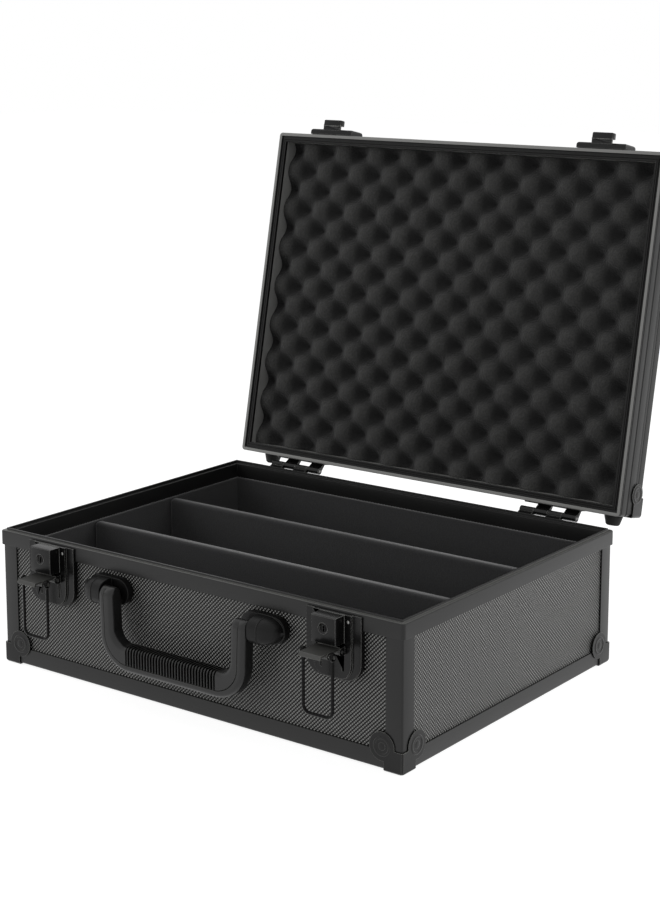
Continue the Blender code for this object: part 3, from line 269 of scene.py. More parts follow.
def round_frame(profile):
    """An outline of insets and heights carried round the case, each of its points along a box with round
    corners, whose radius is the rim's less the inset, and never less than the inner corner's."""
    inset, height = np.array(profile, float).T
    radius = np.maximum(rim_corner_radius - inset, inner_corner_radius)[:, None]
    x, y = round_box(half_x - inset[:, None], half_y - inset[:, None], radius, corner_steps)
    return np.stack([x.T, y.T, np.broadcast_to(height, x.T.shape)], axis=2)


def solid(name, grids, material, body, replaced=()):
    """A closed piece from grids of points. Each grid is rings of points, each ring joined to itself. The last
    ring is joined to the first (looped), or both end rings are closed with a face."""
    points, faces, start = [], [], 0
    for rings, looped in grids:
        count, size = rings.shape[:2]
        index = start + np.arange(count * size).reshape(count, size)
        beside = np.roll(index, -1, axis=1)
        quads = np.stack([index, beside, np.roll(beside, -1, axis=0), np.roll(index, -1, axis=0)], axis=2)
        if not looped:
            quads = quads[:-1]
            faces += [index[0].tolist(), index[-1].tolist()]
        faces += quads.reshape(-1, 4).tolist()
        points.append(rings.reshape(-1, 3))
        start += count * size
    mesh = bpy.data.meshes.new(name)
    mesh.from_pydata(np.concatenate(points).tolist(), [], faces)
    shape = bmesh.new()
    shape.from_mesh(mesh)
    bmesh.ops.remove_doubles(shape, verts=shape.verts, dist=merge_distance)
    bmesh.ops.recalc_face_normals(shape, faces=shape.faces)
    shape.to_mesh(mesh)
    shape.free()
    return placed(name, mesh, material, body, replaced)


def placed(name, mesh, material, body, replaced):
    """The mesh as a smooth-shaded piece that rides on a body and stands for the CAD nodes named."""
    mesh.materials.clear()
    mesh.materials.append(material)
    mesh.shade_smooth()
    mesh.set_sharp_from_angle(angle=sharp_angle)
    piece = bpy.data.objects.new(name, mesh)
    bpy.context.scene.collection.objects.link(piece)
    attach(piece, body)
    if replaced:
        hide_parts(*replaced)
    return piece


def edge_wear_and_highlight(tree):
    """How near a point is to an edge: one less the cosine between its normal and that of the edge rounded to
    the reach, spread from nothing to one. The share paints the edges paler, for wear and a painted
    highlight."""
    rounded = add(tree, "Bevel", {"Radius": wear_and_highlight_reach}, samples=bevel_samples)
    normal = add(tree, "NewGeometry").outputs["Normal"]
    cosine = add(tree, "VectorMath", {0: rounded, 1: normal}, operation="DOT_PRODUCT").outputs["Value"]
    return add(tree, "MapRange", {"Value": cosine, "From Min": 1, "From Max": wear_and_highlight_cosine})


def finished(material, share, dark, light, finish):
    """Ends a material: its colour lies between dark and light by the share, on a shader with the finish."""
    tree = material.node_tree
    colour = add(tree, "Mix", {0: share, 6: linear(dark), 7: linear(light)}, data_type="RGBA")
    shader = add(tree, "BsdfPrincipled", {"Base Color": colour.outputs[2], **finish})
    add(tree, "OutputMaterial", {"Surface": shader})
    return material


def anodised(name, lean, black, worn_and_highlight, gloss):
    """Black anodised aluminium, etched matt before it is dyed: an even grain, drawn coarse enough to show,
    faint lines along the bar from the die, a paler dye where the etch is thin, and edges painted paler, for
    wear and a painted highlight. Lean turns the lines with the lid. The dyed oxide hides the metal, so
    its gloss is a glaze's."""
    material, tree, place = new_tree(name)
    upright = add(tree, "Mapping", {"Vector": place, "Rotation": (lean, 0, 0)})
    along = add(tree, "Mapping", {"Vector": upright, "Scale": (1 / die_run, 1 / die_run, 1 / die_line)})
    lines = add(tree, "TexNoise", {"Vector": along, "Scale": 1, "Detail": 2})
    grain = add(tree, "TexNoise", {"Vector": place, "Scale": 1 / etch_grain, "Detail": 3})
    both = add(tree, "Math", {0: lines, 1: grain}, operation="ADD")
    bump = add(tree, "Bump", {"Height": both, "Distance": etch_depth})
    patch = add(tree, "TexNoise", {"Vector": place, "Scale": 1 / die_run})
    dye = add(tree, "MapRange", {"Value": patch, "To Max": dye_share})
    share = add(tree, "Math", {0: edge_wear_and_highlight(tree), 1: dye}, operation="MAXIMUM")
    return finished(material, share, black, worn_and_highlight,
                    {"Roughness": anodised_roughness, "Specular IOR Level": gloss, "Normal": bump})


extrusion = anodised("black_anodised_aluminium", 0, anodised_black, anodised_wear_and_highlight, anodised_gloss)
# The lip, where the lid shuts and hands reach in, is painted paler: its dye thinned by wear, and a painted
# highlight.
rubbed_painted_highlight = anodised("rubbed_black_anodised_aluminium_with_painted_highlight", 0, rubbed_painted_highlight_black, rubbed_wear_and_highlight, anodised_gloss)
slot_top = case_height - rim_web
tongue_inner = tongue_inset + tongue_thickness
lower_rim_profile = softened([
    (0, case_height - rim_skirt),
    (0, case_height - rim_chamfer),
    (rim_chamfer, case_height),
    (tongue_inset, case_height),
    (tongue_inset, case_height + tongue_height),
    (tongue_inner, case_height + tongue_height),
    (tongue_inner, case_height - rim_ledge_drop),
    (rim_width, case_height - rim_ledge_drop),
    (rim_width, case_height - rim_inner_skirt),
    (lining_outer, case_height - rim_inner_skirt),
    (lining_outer, slot_top),
    (leaf_inner, slot_top),
    (leaf_inner, case_height - rim_skirt),
], edge_softness)
rim = solid("rim_round_mouth", [(round_frame(lower_rim_profile), True)], extrusion, "case",
            ["lower_rim"])


def rub_and_highlight(piece, material, straight, height):
    """Give the second material to the faces of a rim's outer lip: those whose middles, once the piece is set
    straight, lie at the lip's height and less than the tongue's inset from the outer faces."""
    middles = np.empty(len(piece.data.polygons) * 3)
    piece.data.polygons.foreach_get("center", middles)
    middles = straight(middles.reshape(-1, 3))
    inset = np.min(rim_half - np.abs(middles[:, :2]), axis=1)
    lip = (np.abs(middles[:, 2] - height) < lip_depth) & (inset < tongue_inset)
    piece.data.materials.append(material)
    piece.data.polygons.foreach_set("material_index", lip.astype(np.int32))


rub_and_highlight(rim, rubbed_painted_highlight, np.array, case_height)


# Corner posts and bottom edges: L-shaped extrusions of the same anodised aluminium, cut to length and held
# under the caps, with their edges a little rounded.
extrusion_round = 0.0003
flat_angle = math.radians(0.3)
bevel_angle = math.radians(35)
bevel_steps = 2
corner_names = ("front_left", "front_right", "back_left", "back_right")


def points_of(mesh):
    """A mesh's points, one a row."""
    points = np.empty(len(mesh.vertices) * 3)
    mesh.vertices.foreach_get("co", points)
    return points.reshape(-1, 3)


def eased(node, name, material, rounding, shaped=np.array):
    """A CAD node's mesh with its loose triangles merged, its flat faces made whole and its edges rounded.
    Shaped returns a place for each of its points, by default the same one."""
    shape = bmesh.new()
    shape.from_mesh(nodes[node].data)
    bmesh.ops.remove_doubles(shape, verts=shape.verts, dist=merge_distance)
    bmesh.ops.dissolve_limit(shape, angle_limit=flat_angle, verts=shape.verts, edges=shape.edges)
    mesh = bpy.data.meshes.new(name)
    shape.to_mesh(mesh)
    shape.free()
    for leftover in [layer for layer in mesh.attributes if layer.name == "custom_normal"]:
        mesh.attributes.remove(leftover)
    mesh.vertices.foreach_set("co", shaped(points_of(mesh)).ravel())
    piece = placed(name, mesh, material, nodes[node]["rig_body"], [node])
    bevel = piece.modifiers.new("rounded_edges", "BEVEL")
    bevel.width = rounding
    bevel.segments = bevel_steps
    bevel.limit_method = "ANGLE"
    bevel.angle_limit = bevel_angle
    bevel.use_clamp_overlap = False
    bevel.harden_normals = True


for corner in corner_names:
    eased("corner_post_" + corner, "post_" + corner, extrusion, extrusion_round)
for side in ("front", "back", "left", "right"):
    eased("bottom_edge_" + side, "edge_bar_" + side, extrusion, extrusion_round)


# Wall boards: thin fibreboard with a black skin, rolled with a raised diamond pattern, whose ridges are
# painted light as a painted highlight and whose grooves are painted dark as painted shade.
diamond_pitch = 0.0022
diamond_depth = 0.00040
notch_share = 0.78
ridge_low = 0.20
ridge_high = 0.85
skin_groove_painted_shade = "#0c0c0c"
skin_ridge_painted_highlight = "#a2a2a0"
skin_roughness = 0.36
skin_groove_shade_metal = 0.85
skin_patch = 0.045
skin_patch_share = 0.12


def embossed(name, across, up, lean):
    """Embossed board skin, a moulded plastic film: ridges on one diagonal, shallower notches on the other,
    painted light on the ridges as a painted highlight and near black in the grooves as painted shade. A
    groove also has a share of dark metal, painted shade that takes its gloss away. Across and up name the
    axes of the board's plane."""
    material, tree, place = new_tree(name)
    upright = add(tree, "Mapping", {"Vector": place, "Rotation": (lean, 0, 0)})
    axes = add(tree, "SeparateXYZ", {0: upright}).outputs
    waves = []
    for operation in ("SUBTRACT", "ADD"):
        diagonal = add(tree, "Math", {0: axes[across], 1: axes[up]}, operation=operation)
        cells = add(tree, "Math", {0: diagonal, 1: 1 / (diamond_pitch * math.sqrt(2))}, operation="MULTIPLY")
        rise = add(tree, "Math", {0: cells, 1: 1 / 2}, operation="PINGPONG")
        edges = {"From Min": ridge_low / 2, "From Max": ridge_high / 2}
        waves.append(add(tree, "MapRange", {"Value": rise, **edges}, interpolation_type="SMOOTHSTEP"))
    notch = add(tree, "MapRange", {"Value": waves[1], "To Min": 1 - notch_share})
    height = add(tree, "Math", {0: waves[0], 1: notch}, operation="MULTIPLY")
    bump = add(tree, "Bump", {"Height": height, "Distance": diamond_depth})
    patch = add(tree, "TexNoise", {"Vector": place, "Scale": 1 / skin_patch})
    uneven = add(tree, "MapRange", {"Value": patch, "To Min": 1 - skin_patch_share})
    # Colour by height: painted highlight on ridges, painted shade in grooves, and random paler patches.
    share = add(tree, "Math", {0: height, 1: uneven}, operation="MULTIPLY")
    # Painted shade: dark metal in the grooves takes their gloss away.
    deep = add(tree, "MapRange", {"Value": height, "To Min": skin_groove_shade_metal, "To Max": 0})
    return finished(material, share, skin_groove_painted_shade, skin_ridge_painted_highlight,
                    {"Metallic": deep, "Roughness": skin_roughness, "Normal": bump})


def dressed(node, material):
    """A CAD node whose shape stays gets its finish."""
    for place in nodes[node].material_slots:
        place.material = material


skin_front = embossed("embossed_skin_on_front_and_back", "X", "Z", 0)
skin_side = embossed("embossed_skin_on_sides", "Y", "Z", 0)
skin_flat = embossed("embossed_skin_on_bottom", "X", "Y", 0)
for node, skin in (("front_panel", skin_front), ("back_panel", skin_front), ("left_panel", skin_side),
                   ("right_panel", skin_side), ("bottom_panel", skin_flat)):
    dressed(node, skin)


# Corner caps: pressed steel in satin black, three lobes a cap, each with a raised ring round a rivet, or with
# a foot on the back. The plates are drawn a little thin so that the rings stand within the cap's size.
cap_relief = 0.0004
cap_round = 0.0002
ring_radius = 0.0064
ring_width = 0.0022
rivet_radius = 0.0031
rivet_sink = 0.0004
cap_lobe_place = 0.0185
cap_inset = 0.0002
cap_black = "#0c0c0c"
# The caps' edge colour is light: wear, and a painted highlight along the rings.
cap_wear_and_highlight = "#8a8a86"
cap_roughness = 0.30
cap_metal = 0.45
orange_peel = 0.0016
peel_depth = 0.00004
lid_cap_outer = 0.0015
lid_cap_top = 0.0385
side_lobe_along = 0.0200
side_lobe_down = 0.0125
hinge_joint = [joint for joint in frame["joints"] if joint["name"] == "lid_hinge"][0]
hinge_axis = np.array(hinge_joint["pos_m"])
lid_open = math.radians(hinge_joint["range_deg"][1])
turn_steps = 32


def grained(name, grain, detail, depth):
    """A material with a fine even grain, and the bump that the grain makes."""
    material, tree, place = new_tree(name)
    noise = add(tree, "TexNoise", {"Vector": place, "Scale": 1 / grain, "Detail": detail})
    return material, noise, add(tree, "Bump", {"Height": noise, "Distance": depth})


def coated_steel(name, black, worn_and_highlight, roughness, metal, peel):
    """Steel in a thin dark coat, baked, plated or oxidised: a slow ripple, a soft gloss, and a paler line
    along the edges, for wear and a painted highlight."""
    material, _, bump = grained(name, peel, 2, peel_depth)
    return finished(material, edge_wear_and_highlight(material.node_tree), black, worn_and_highlight,
                    {"Metallic": metal, "Roughness": roughness, "Normal": bump})


def leaned(points, angle=lid_open):
    """Points of the shut lid, turned back about the hinge: y' = y cos + z sin and z' = z cos - y sin."""
    offset = points - hinge_axis
    y = offset[..., 1] * math.cos(angle) + offset[..., 2] * math.sin(angle)
    z = offset[..., 2] * math.cos(angle) - offset[..., 1] * math.sin(angle)
    return np.stack([offset[..., 0], y, z], axis=-1) + hinge_axis


def shut(points):
    """Points of the open lid, turned forward again to where they are when it is shut."""
    return leaned(points, -lid_open)


def turned(profile, centre, outward):
    """A turned shape: centre + place x outward + radius x (cos of turn x across + sin of turn x up)."""
    radius, place = np.array(profile, float).T
    outward = np.array(outward, float)
    across = np.roll(np.abs(outward), 1)
    up = np.cross(outward, across)
    turn = np.linspace(0, 2 * math.pi, turn_steps, endpoint=False)
    wheel = np.cos(turn)[:, None] * across + np.sin(turn)[:, None] * up
    return np.array(centre) + place[:, None, None] * outward + radius[:, None, None] * wheel


def rivet_head(radius, height):
    """A rivet's domed head: a quarter of an ellipse, with its rim sunk a little into what it holds."""
    dome = np.linspace(0, math.pi / 2, soft_steps * 2)
    head = np.stack([radius * np.cos(dome), height * np.sin(dome)], axis=1)
    return np.concatenate([[(radius, -rivet_sink)], head])


def pressed_ring(centre, outward):
    """A low round-topped ring and a domed rivet inside it, on a lobe whose face passes through the centre."""
    turn = np.linspace(0, math.pi, soft_steps * 2)
    ring = np.stack([ring_radius + ring_width / 2 * np.cos(turn), cap_relief * np.sin(turn)], axis=1)
    ring = np.concatenate([ring, [(ring_radius - ring_width / 2, -rivet_sink),
                                  (ring_radius + ring_width / 2, -rivet_sink)]])
    rivet = rivet_head(rivet_radius, cap_relief)
    return [(turned(ring, centre, outward), True), (turned(rivet, centre, outward), False)]


def cap_rings(signs, face, lobe, side_lobe, height, flat, up):
    """A cap's rings: one on its side lobe, one on its flat lobe, and on a front cap one on its front lobe."""
    rings = pressed_ring((face[0], side_lobe[1], height), (signs[0], 0, 0))
    rings += pressed_ring((*lobe, flat), (0, 0, up))
    if signs[1] < 0:
        rings += pressed_ring((side_lobe[0], face[1], height), (0, signs[1], 0))
    return rings


cap_steel = coated_steel("satin_black_pressed_steel", cap_black, cap_wear_and_highlight, cap_roughness, cap_metal,
                         orange_peel)
case_outer = rim_half - cap_inset - cap_relief
lid_outer = rim_half + lid_cap_outer - cap_relief
lid_top = case_height + lid_cap_top - cap_relief
lid_lobe_height = case_height + lid_cap_top - side_lobe_down


def thinned_case_cap(points):
    """A bottom cap with its three outer faces drawn in by the rings' height."""
    points[:, :2] = np.clip(points[:, :2], -case_outer, case_outer)
    points[:, 2] = np.maximum(points[:, 2], cap_relief)
    return points


def thinned_lid_cap(points):
    """A lid cap with its three outer faces drawn in by the rings' height."""
    points = shut(points)
    points[:, :2] = np.clip(points[:, :2], -lid_outer, lid_outer)
    points[:, 2] = np.minimum(points[:, 2], lid_top)
    return leaned(points)


for corner, signs in zip(corner_names, np.array([(-1, -1), (1, -1), (-1, 1), (1, 1)])):
    eased("bottom_corner_" + corner, "bottom_cap_" + corner, cap_steel, cap_round, thinned_case_cap)
    eased("lid_corner_" + corner, "lid_cap_" + corner, cap_steel, cap_round, thinned_lid_cap)
    lobe = signs * (rim_half - cap_inset - cap_lobe_place)
    rings = cap_rings(signs, signs * case_outer, lobe, lobe, cap_lobe_place, cap_relief, -1)
    solid("bottom_cap_rivets_" + corner, rings, cap_steel, "case")
    lobe = signs * (rim_half + lid_cap_outer - cap_lobe_place)
    side_lobe = signs * (rim_half + lid_cap_outer - side_lobe_along)
    rings = cap_rings(signs, signs * lid_outer, lobe, side_lobe, lid_lobe_height, lid_top, 1)
    rings = [(leaned(grid), looped) for grid, looped in rings]
    solid("lid_cap_rivets_" + corner, rings, cap_steel, "lid")


# Linings: card board covered with short black pile cloth, glued round the walls, two loose dividers of foam
# under the same cloth, and a thin pad on the floor.
wall_low = 0.0067
lining_high = 0.0987
lining_thickness = 0.0040
lining_round = 0.0014
pad_thickness = 0.0020
pad_round = pad_thickness / 4
divider_thickness = 0.0100
divider_places = (-0.048033, 0.048033)
divider_round = 0.0032
divider_crown = 0.0004
clearance = 0.0003
pile_dark = "#121213"
pile_light = "#2c2c2d"
pile_roughness = 0.92
pile_clump = 0.0011
pile_depth = 0.00022
pile_sheen = 0.35
pile_sheen_roughness = 0.5
slab_steps = 24
end_share = 0.9


def padded_slab(middle, halves, rounding, crown):
    """A padded slab along X: its section is a box with round corners, carried from end to end. Near each end
    the section draws in by rounding x (1 - sin), and its long faces swell by crown x (1 - u^2)(1 - v^2)."""
    fold = np.linspace(0, math.pi / 2, corner_steps)
    ends = halves[0] - rounding + rounding * np.cos(fold)
    inner = np.linspace(rounding - halves[0], halves[0] - rounding, slab_steps)[1:-1]
    x = np.concatenate([-ends, inner, ends[::-1]])[:, None]
    draw = np.concatenate([1 - np.sin(fold), np.zeros(len(inner)), 1 - np.sin(fold[::-1])])
    drawn = draw[:, None] * rounding
    y, z = round_box(halves[1] - drawn, halves[2] - drawn, rounding - drawn * end_share, corner_steps)
    swell = (1 - (x / halves[0]) ** 2) * (1 - (z / halves[2]) ** 2)
    y = y - np.sign(y) * crown * (1 - swell)
    return np.array(middle) + np.stack([np.broadcast_to(x, y.shape), y, z], axis=2)


# Short-pile polyester cloth: matt, slightly clumped, with a soft sheen where the pile is seen edge on.
cloth, clumps, bump = grained("short_pile_cloth", pile_clump, 4, pile_depth)
finished(cloth, clumps, pile_dark, pile_light,
         {"Roughness": pile_roughness, "Sheen Weight": pile_sheen, "Sheen Roughness": pile_sheen_roughness,
          "Normal": bump})

lining_profile = softened([
    (lining_outer, wall_low),
    (lining_outer, lining_high),
    (lining_outer + lining_thickness, lining_high),
    (lining_outer + lining_thickness, wall_low),
], lining_round)
solid("wall_lining_board", [(round_frame(lining_profile), True)], cloth, "case", ["wall_lining"])
well = rim_half - lining_outer - lining_thickness - clearance
slab = padded_slab((0, 0, wall_low + pad_thickness / 2), (*well, pad_thickness / 2), pad_round, 0)
pad = solid("floor_pad", [(slab, False)], cloth, "case", ["base_pad"])
divider_low = wall_low + pad_thickness + clearance
divider_halves = (well[0], divider_thickness / 2, (lining_high - divider_low) / 2)
for name, place in zip(("divider_front", "divider_back"), divider_places):
    middle = (0, place, (divider_low + lining_high) / 2)
    slab = padded_slab(middle, divider_halves, divider_round, divider_crown)
    board = solid("padded_" + name, [(slab, False)], cloth, "case", [name])


# Lid rim: a second black extrusion, with a box section round the mouth, a groove for the tongue, and two
# lines along its outer wall.
lid_gap = 0.0004
lid_rim_height = 0.0223
lid_rim_wall = 0.0020
mouth_box_height = 0.0040
side_groove_depth = 0.0004
side_grooves = ((0.0018, 0.0034), (0.0100, 0.0126))
lip_line_inset = 0.0060
lip_line_width = 0.0007
lip_set_back = 0.0006
lid_gloss = 0.20
# The lid's lip is painted paler still: dye thinned by wear, and a painted highlight.
lid_rubbed_painted_highlight_black = "#868684"
lid_rubbed_wear_and_highlight = "#acacaa"

lid_extrusion = anodised("black_anodised_aluminium_of_lid", lid_open, anodised_black, anodised_wear_and_highlight,
                         lid_gloss)
lid_rubbed_painted_highlight = anodised("rubbed_black_anodised_aluminium_of_lid", lid_open, lid_rubbed_painted_highlight_black, lid_rubbed_wear_and_highlight,
                      anodised_gloss)
groove_outer = tongue_inset - clearance
groove_inner = tongue_inner + clearance
groove_top = tongue_height + 2 * clearance
lid_rim_corners = [(0, lid_gap + rim_edge)]
for start, end in side_grooves:
    lid_rim_corners += [(0, start), (side_groove_depth, start + side_groove_depth)]
    lid_rim_corners += [(side_groove_depth, end - side_groove_depth), (0, end)]
lid_rim_corners += [
    (0, lid_rim_height),
    (lid_rim_wall, lid_rim_height),
    (lid_rim_wall, mouth_box_height),
    (rim_width, mouth_box_height),
    (rim_width, lid_gap + lip_set_back),
    (lip_line_inset + lip_line_width, lid_gap + lip_set_back),
    (lip_line_inset + lip_line_width / 2, lid_gap + lip_set_back + lip_line_width),
    (lip_line_inset, lid_gap + lip_set_back),
    (groove_inner, lid_gap + lip_set_back),
    (groove_inner, groove_top),
    (groove_outer, groove_top),
    (groove_outer, lid_gap + lip_set_back),
    (groove_outer - lip_set_back, lid_gap),
    (rim_edge, lid_gap),
]
lid_rim_profile = softened(lid_rim_corners, edge_softness) + np.array([0, case_height])
lid_rim = solid("lid_rim_round_mouth", [(leaned(round_frame(lid_rim_profile)), True)], lid_extrusion, "lid",
                ["lid_rim"])
rub_and_highlight(lid_rim, lid_rubbed_painted_highlight, shut, case_height + lid_gap)


# Lid edge: a third extrusion, anodised as the rim is, that holds the lid's board. It is rounded over along
# the top and has a leaf on the board.
lid_height = 0.0370
leaf = 0.0010
lid_leaf_inset = 0.0003
lid_leaf_radius = 0.0020
lid_top_leaf = 0.0137
lid_block_inner = 0.0050
lid_edge_line = 0.0046

lid_edge_fold = np.linspace(math.pi, math.pi / 2, corner_steps)
lid_edge_arc = np.stack([lid_leaf_inset + lid_leaf_radius + lid_leaf_radius * np.cos(lid_edge_fold),
                         lid_height - lid_leaf_radius + lid_leaf_radius * np.sin(lid_edge_fold)], axis=1)
lid_edge_low = softened([
    (lid_leaf_inset + lid_top_leaf, lid_height),
    (lid_leaf_inset + lid_top_leaf, lid_height - leaf),
    (lid_block_inner, lid_height - leaf),
    (lid_block_inner, lid_rim_height + clearance),
    (lid_leaf_inset, lid_rim_height + clearance),
    (lid_leaf_inset, lid_rim_height + lid_edge_line),
    (lid_leaf_inset + rim_edge, lid_rim_height + lid_edge_line + rim_edge),
    (lid_leaf_inset, lid_rim_height + lid_edge_line + 2 * rim_edge),
    tuple(lid_edge_arc[0]),
], edge_softness)
lid_edge_profile = np.concatenate([lid_edge_low[:-soft_steps], lid_edge_arc]) + np.array([0, case_height])
solid("lid_edge_bar", [(leaned(round_frame(lid_edge_profile)), True)], lid_extrusion, "lid",
      ["lid_edge"])
dressed("lid_panel", embossed("embossed_skin_on_lid", "X", "Y", lid_open))


# Lid lining and foam: a vinyl-faced board inside the lid's walls, and a block of open-cell foam with its face
# cut as egg crate.
lid_lining_high = 0.0318
lid_lining_inset = 0.0078
lid_lining_round = 0.0010
# The vinyl's colours are painted light, as painted light on a wall in shade.
vinyl_dark_painted_lit = "#8c8c8a"
vinyl_light_painted_lit = "#a2a2a0"
vinyl_roughness = 0.42
vinyl_ripple = 0.012
vinyl_depth = 0.0002
foam_pitch_across = 0.0368
foam_pitch_along = 0.0362
foam_shift_across = -0.0031
foam_shift_along = -0.0080
foam_peak = 0.0085
foam_valley = 0.0215
foam_fullness = 0.85
foam_crest_fullness = 0.6
foam_step = 0.0016
foam_dark = "#060606"
foam_light = "#454544"
foam_hollow_low = 0.50
foam_hollow_high = 0.97
foam_hollow_shade_share = 0.85
foam_roughness = 0.96
foam_cell = 0.0017
foam_blotch = 0.012
foam_cell_depth = 0.0005
foam_blotch_low = 0.6
foam_pore_shade_low = 0.45
foam_sheen = 0.15

# Card board faced with calendered vinyl: smooth and satin, with a slow ripple from the glue below. Its
# colours are painted lighter than the vinyl's own, as painted light on the lid's inner walls.
vinyl, ripple, bump = grained("vinyl_faced_board", vinyl_ripple, 2, vinyl_depth)
finished(vinyl, ripple, vinyl_dark_painted_lit, vinyl_light_painted_lit, {"Roughness": vinyl_roughness, "Normal": bump})

lid_lining_profile = softened([
    (lid_rim_wall + clearance, mouth_box_height + clearance),
    (lid_rim_wall + clearance, lid_rim_height),
    (lid_block_inner + clearance, lid_rim_height),
    (lid_block_inner + clearance, lid_lining_high),
    (lid_lining_inset, lid_lining_high),
    (lid_lining_inset, mouth_box_height + clearance),
], lid_lining_round) + np.array([0, case_height])
solid("lid_lining_board", [(leaned(round_frame(lid_lining_profile)), True)], vinyl, "lid",
      ["lid_lining"])

# Open-cell polyurethane foam, cut on a profile cutter: torn cells, drawn as coarse as they need to be to
# show, with painted shade inside each, and painted shade in the hollows, so the crests stay lighter.
foam_skin, tree, place = new_tree("open_cell_foam")
cells = add(tree, "TexVoronoi", {"Vector": place, "Scale": 1 / foam_cell}).outputs["Distance"]
bump = add(tree, "Bump", {"Height": cells, "Distance": foam_cell_depth})
blotch = add(tree, "TexNoise", {"Vector": place, "Scale": 1 / foam_blotch})
uneven = add(tree, "MapRange", {"Value": blotch, "To Min": foam_blotch_low})
# Painted shade: the lower a point lies in a hollow, and the nearer a cell's middle, the darker its colour.
height = add(tree, "Attribute", attribute_name="crest").outputs["Fac"]
above = add(tree, "MapRange", {"Value": height, "From Min": foam_hollow_low, "From Max": foam_hollow_high},
            interpolation_type="SMOOTHSTEP")
painted_hollow_shade = add(tree, "Mix", {0: foam_hollow_shade_share, 2: height, 3: above})
both = add(tree, "Math", {0: painted_hollow_shade, 1: uneven}, operation="MULTIPLY")
pore_shade = add(tree, "MapRange", {"Value": cells, "To Min": foam_pore_shade_low})
share = add(tree, "Math", {0: both, 1: pore_shade}, operation="MULTIPLY")
finished(foam_skin, share, foam_dark, foam_light,
         {"Roughness": foam_roughness, "Sheen Weight": foam_sheen, "Normal": bump})

foam_half = rim_half - lid_lining_inset - clearance
across = np.linspace(-foam_half[0], foam_half[0], int(2 * foam_half[0] / foam_step))
along = np.linspace(-foam_half[1], foam_half[1], int(2 * foam_half[1] / foam_step))
grid_x, grid_y = np.meshgrid(across, along, indexing="ij")
# The face is a product of two cosines, made fuller by a power that keeps its sign. A second power makes the
# crests broad and the hollows round pits, as the pressure of the cutter's rollers leaves them.
wave = (np.cos(2 * math.pi * (grid_x - foam_shift_across) / foam_pitch_across)
        * np.cos(2 * math.pi * (grid_y - foam_shift_along) / foam_pitch_along))
wave = np.sign(wave) * np.abs(wave) ** foam_fullness
foam_relief = foam_valley - foam_peak
grid_z = case_height + foam_valley - foam_relief * ((1 + wave) / 2) ** foam_crest_fullness
face = np.stack([grid_x, grid_y, grid_z], axis=2)
index = np.arange(grid_x.size).reshape(grid_x.shape)
around = np.concatenate([index[:-1, 0], index[-1, :-1], index[:0:-1, -1], index[0, :0:-1]])
back = face.reshape(-1, 3)[around]
back[:, 2] = case_height + lid_lining_high
behind = grid_x.size + np.arange(len(around))
quads = np.stack([index[:-1, :-1], index[:-1, 1:], index[1:, 1:], index[1:, :-1]], axis=2).reshape(-1, 4)
sides = np.stack([around, np.roll(around, -1), np.roll(behind, -1), behind], axis=1)
foam_mesh = bpy.data.meshes.new("egg_crate_foam")
foam_points = np.concatenate([face.reshape(-1, 3), back])
foam_faces = quads.tolist() + sides.tolist() + [behind[::-1].tolist()]
foam_mesh.from_pydata(leaned(foam_points).tolist(), [], foam_faces)
crest = foam_mesh.attributes.new("crest", "FLOAT", "POINT")
crest.data.foreach_set("value", 1 - (foam_points[:, 2] - case_height - foam_peak) / foam_relief)
foam = placed("egg_crate_foam", foam_mesh, foam_skin, "lid", ["lid_foam"])


# Handle: one moulding of black ABS, two arms and a grip with ribs for the fingers, hung on stub pins. A rail
# is left smooth along the grip's outer side.
handle_reach = 0.0130
handle_half_depth = 0.0070
arm_place = 0.0660
arm_lean = 0.0010
arm_half_width = 0.0070
grip_half_width = 0.0103
pivot_height = 0.0855
grip_drop = 0.0460
bend_radius = 0.0200
section_radius = 0.0040
section_share = 2 / 3
rib_pitch = 0.00286
rib_count = 31
rib_depth = 0.0016
rib_crest_share = 0.45
rib_slope_share = 0.35
trunnion_radius = 0.0035
trunnion_length = 0.0070
rib_steps = 10
arm_steps = 14
bend_steps = 18
section_steps = 7
top_round_share = 0.2
rail_width = 0.0060
rail_line_width = 0.0009
rail_line_depth = 0.0006
abs_black = "#111111"
# The moulding's paler edge colour: wear, and a painted highlight.
abs_light = "#3e3e3c"
abs_roughness = 0.34
abs_gloss = 0.42
spark_grain = 0.0005
spark_depth = 0.00003
trunnion_sink = 0.0020


def moulded_abs(name, black, light, roughness, gloss):
    """Injection-moulded ABS from a spark-eroded mould: an even grain, drawn coarse enough to show, a low
    satin gloss, taken out of narrow grooves by a point attribute as painted shade, and edges painted paler,
    for wear and a painted highlight."""
    material, _, bump = grained(name, spark_grain, 2, spark_depth)
    rib_shade = add(material.node_tree, "Attribute", attribute_name="rib_shade").outputs["Fac"]
    return finished(material, edge_wear_and_highlight(material.node_tree), black, light,
                    {"Metallic": rib_shade, "Roughness": roughness, "Specular IOR Level": gloss, "Normal": bump})


plastic = moulded_abs("moulded_black_abs", abs_black, abs_light, abs_roughness, abs_gloss)
bend_place = arm_place - arm_lean - bend_radius
grip_height = pivot_height - grip_drop
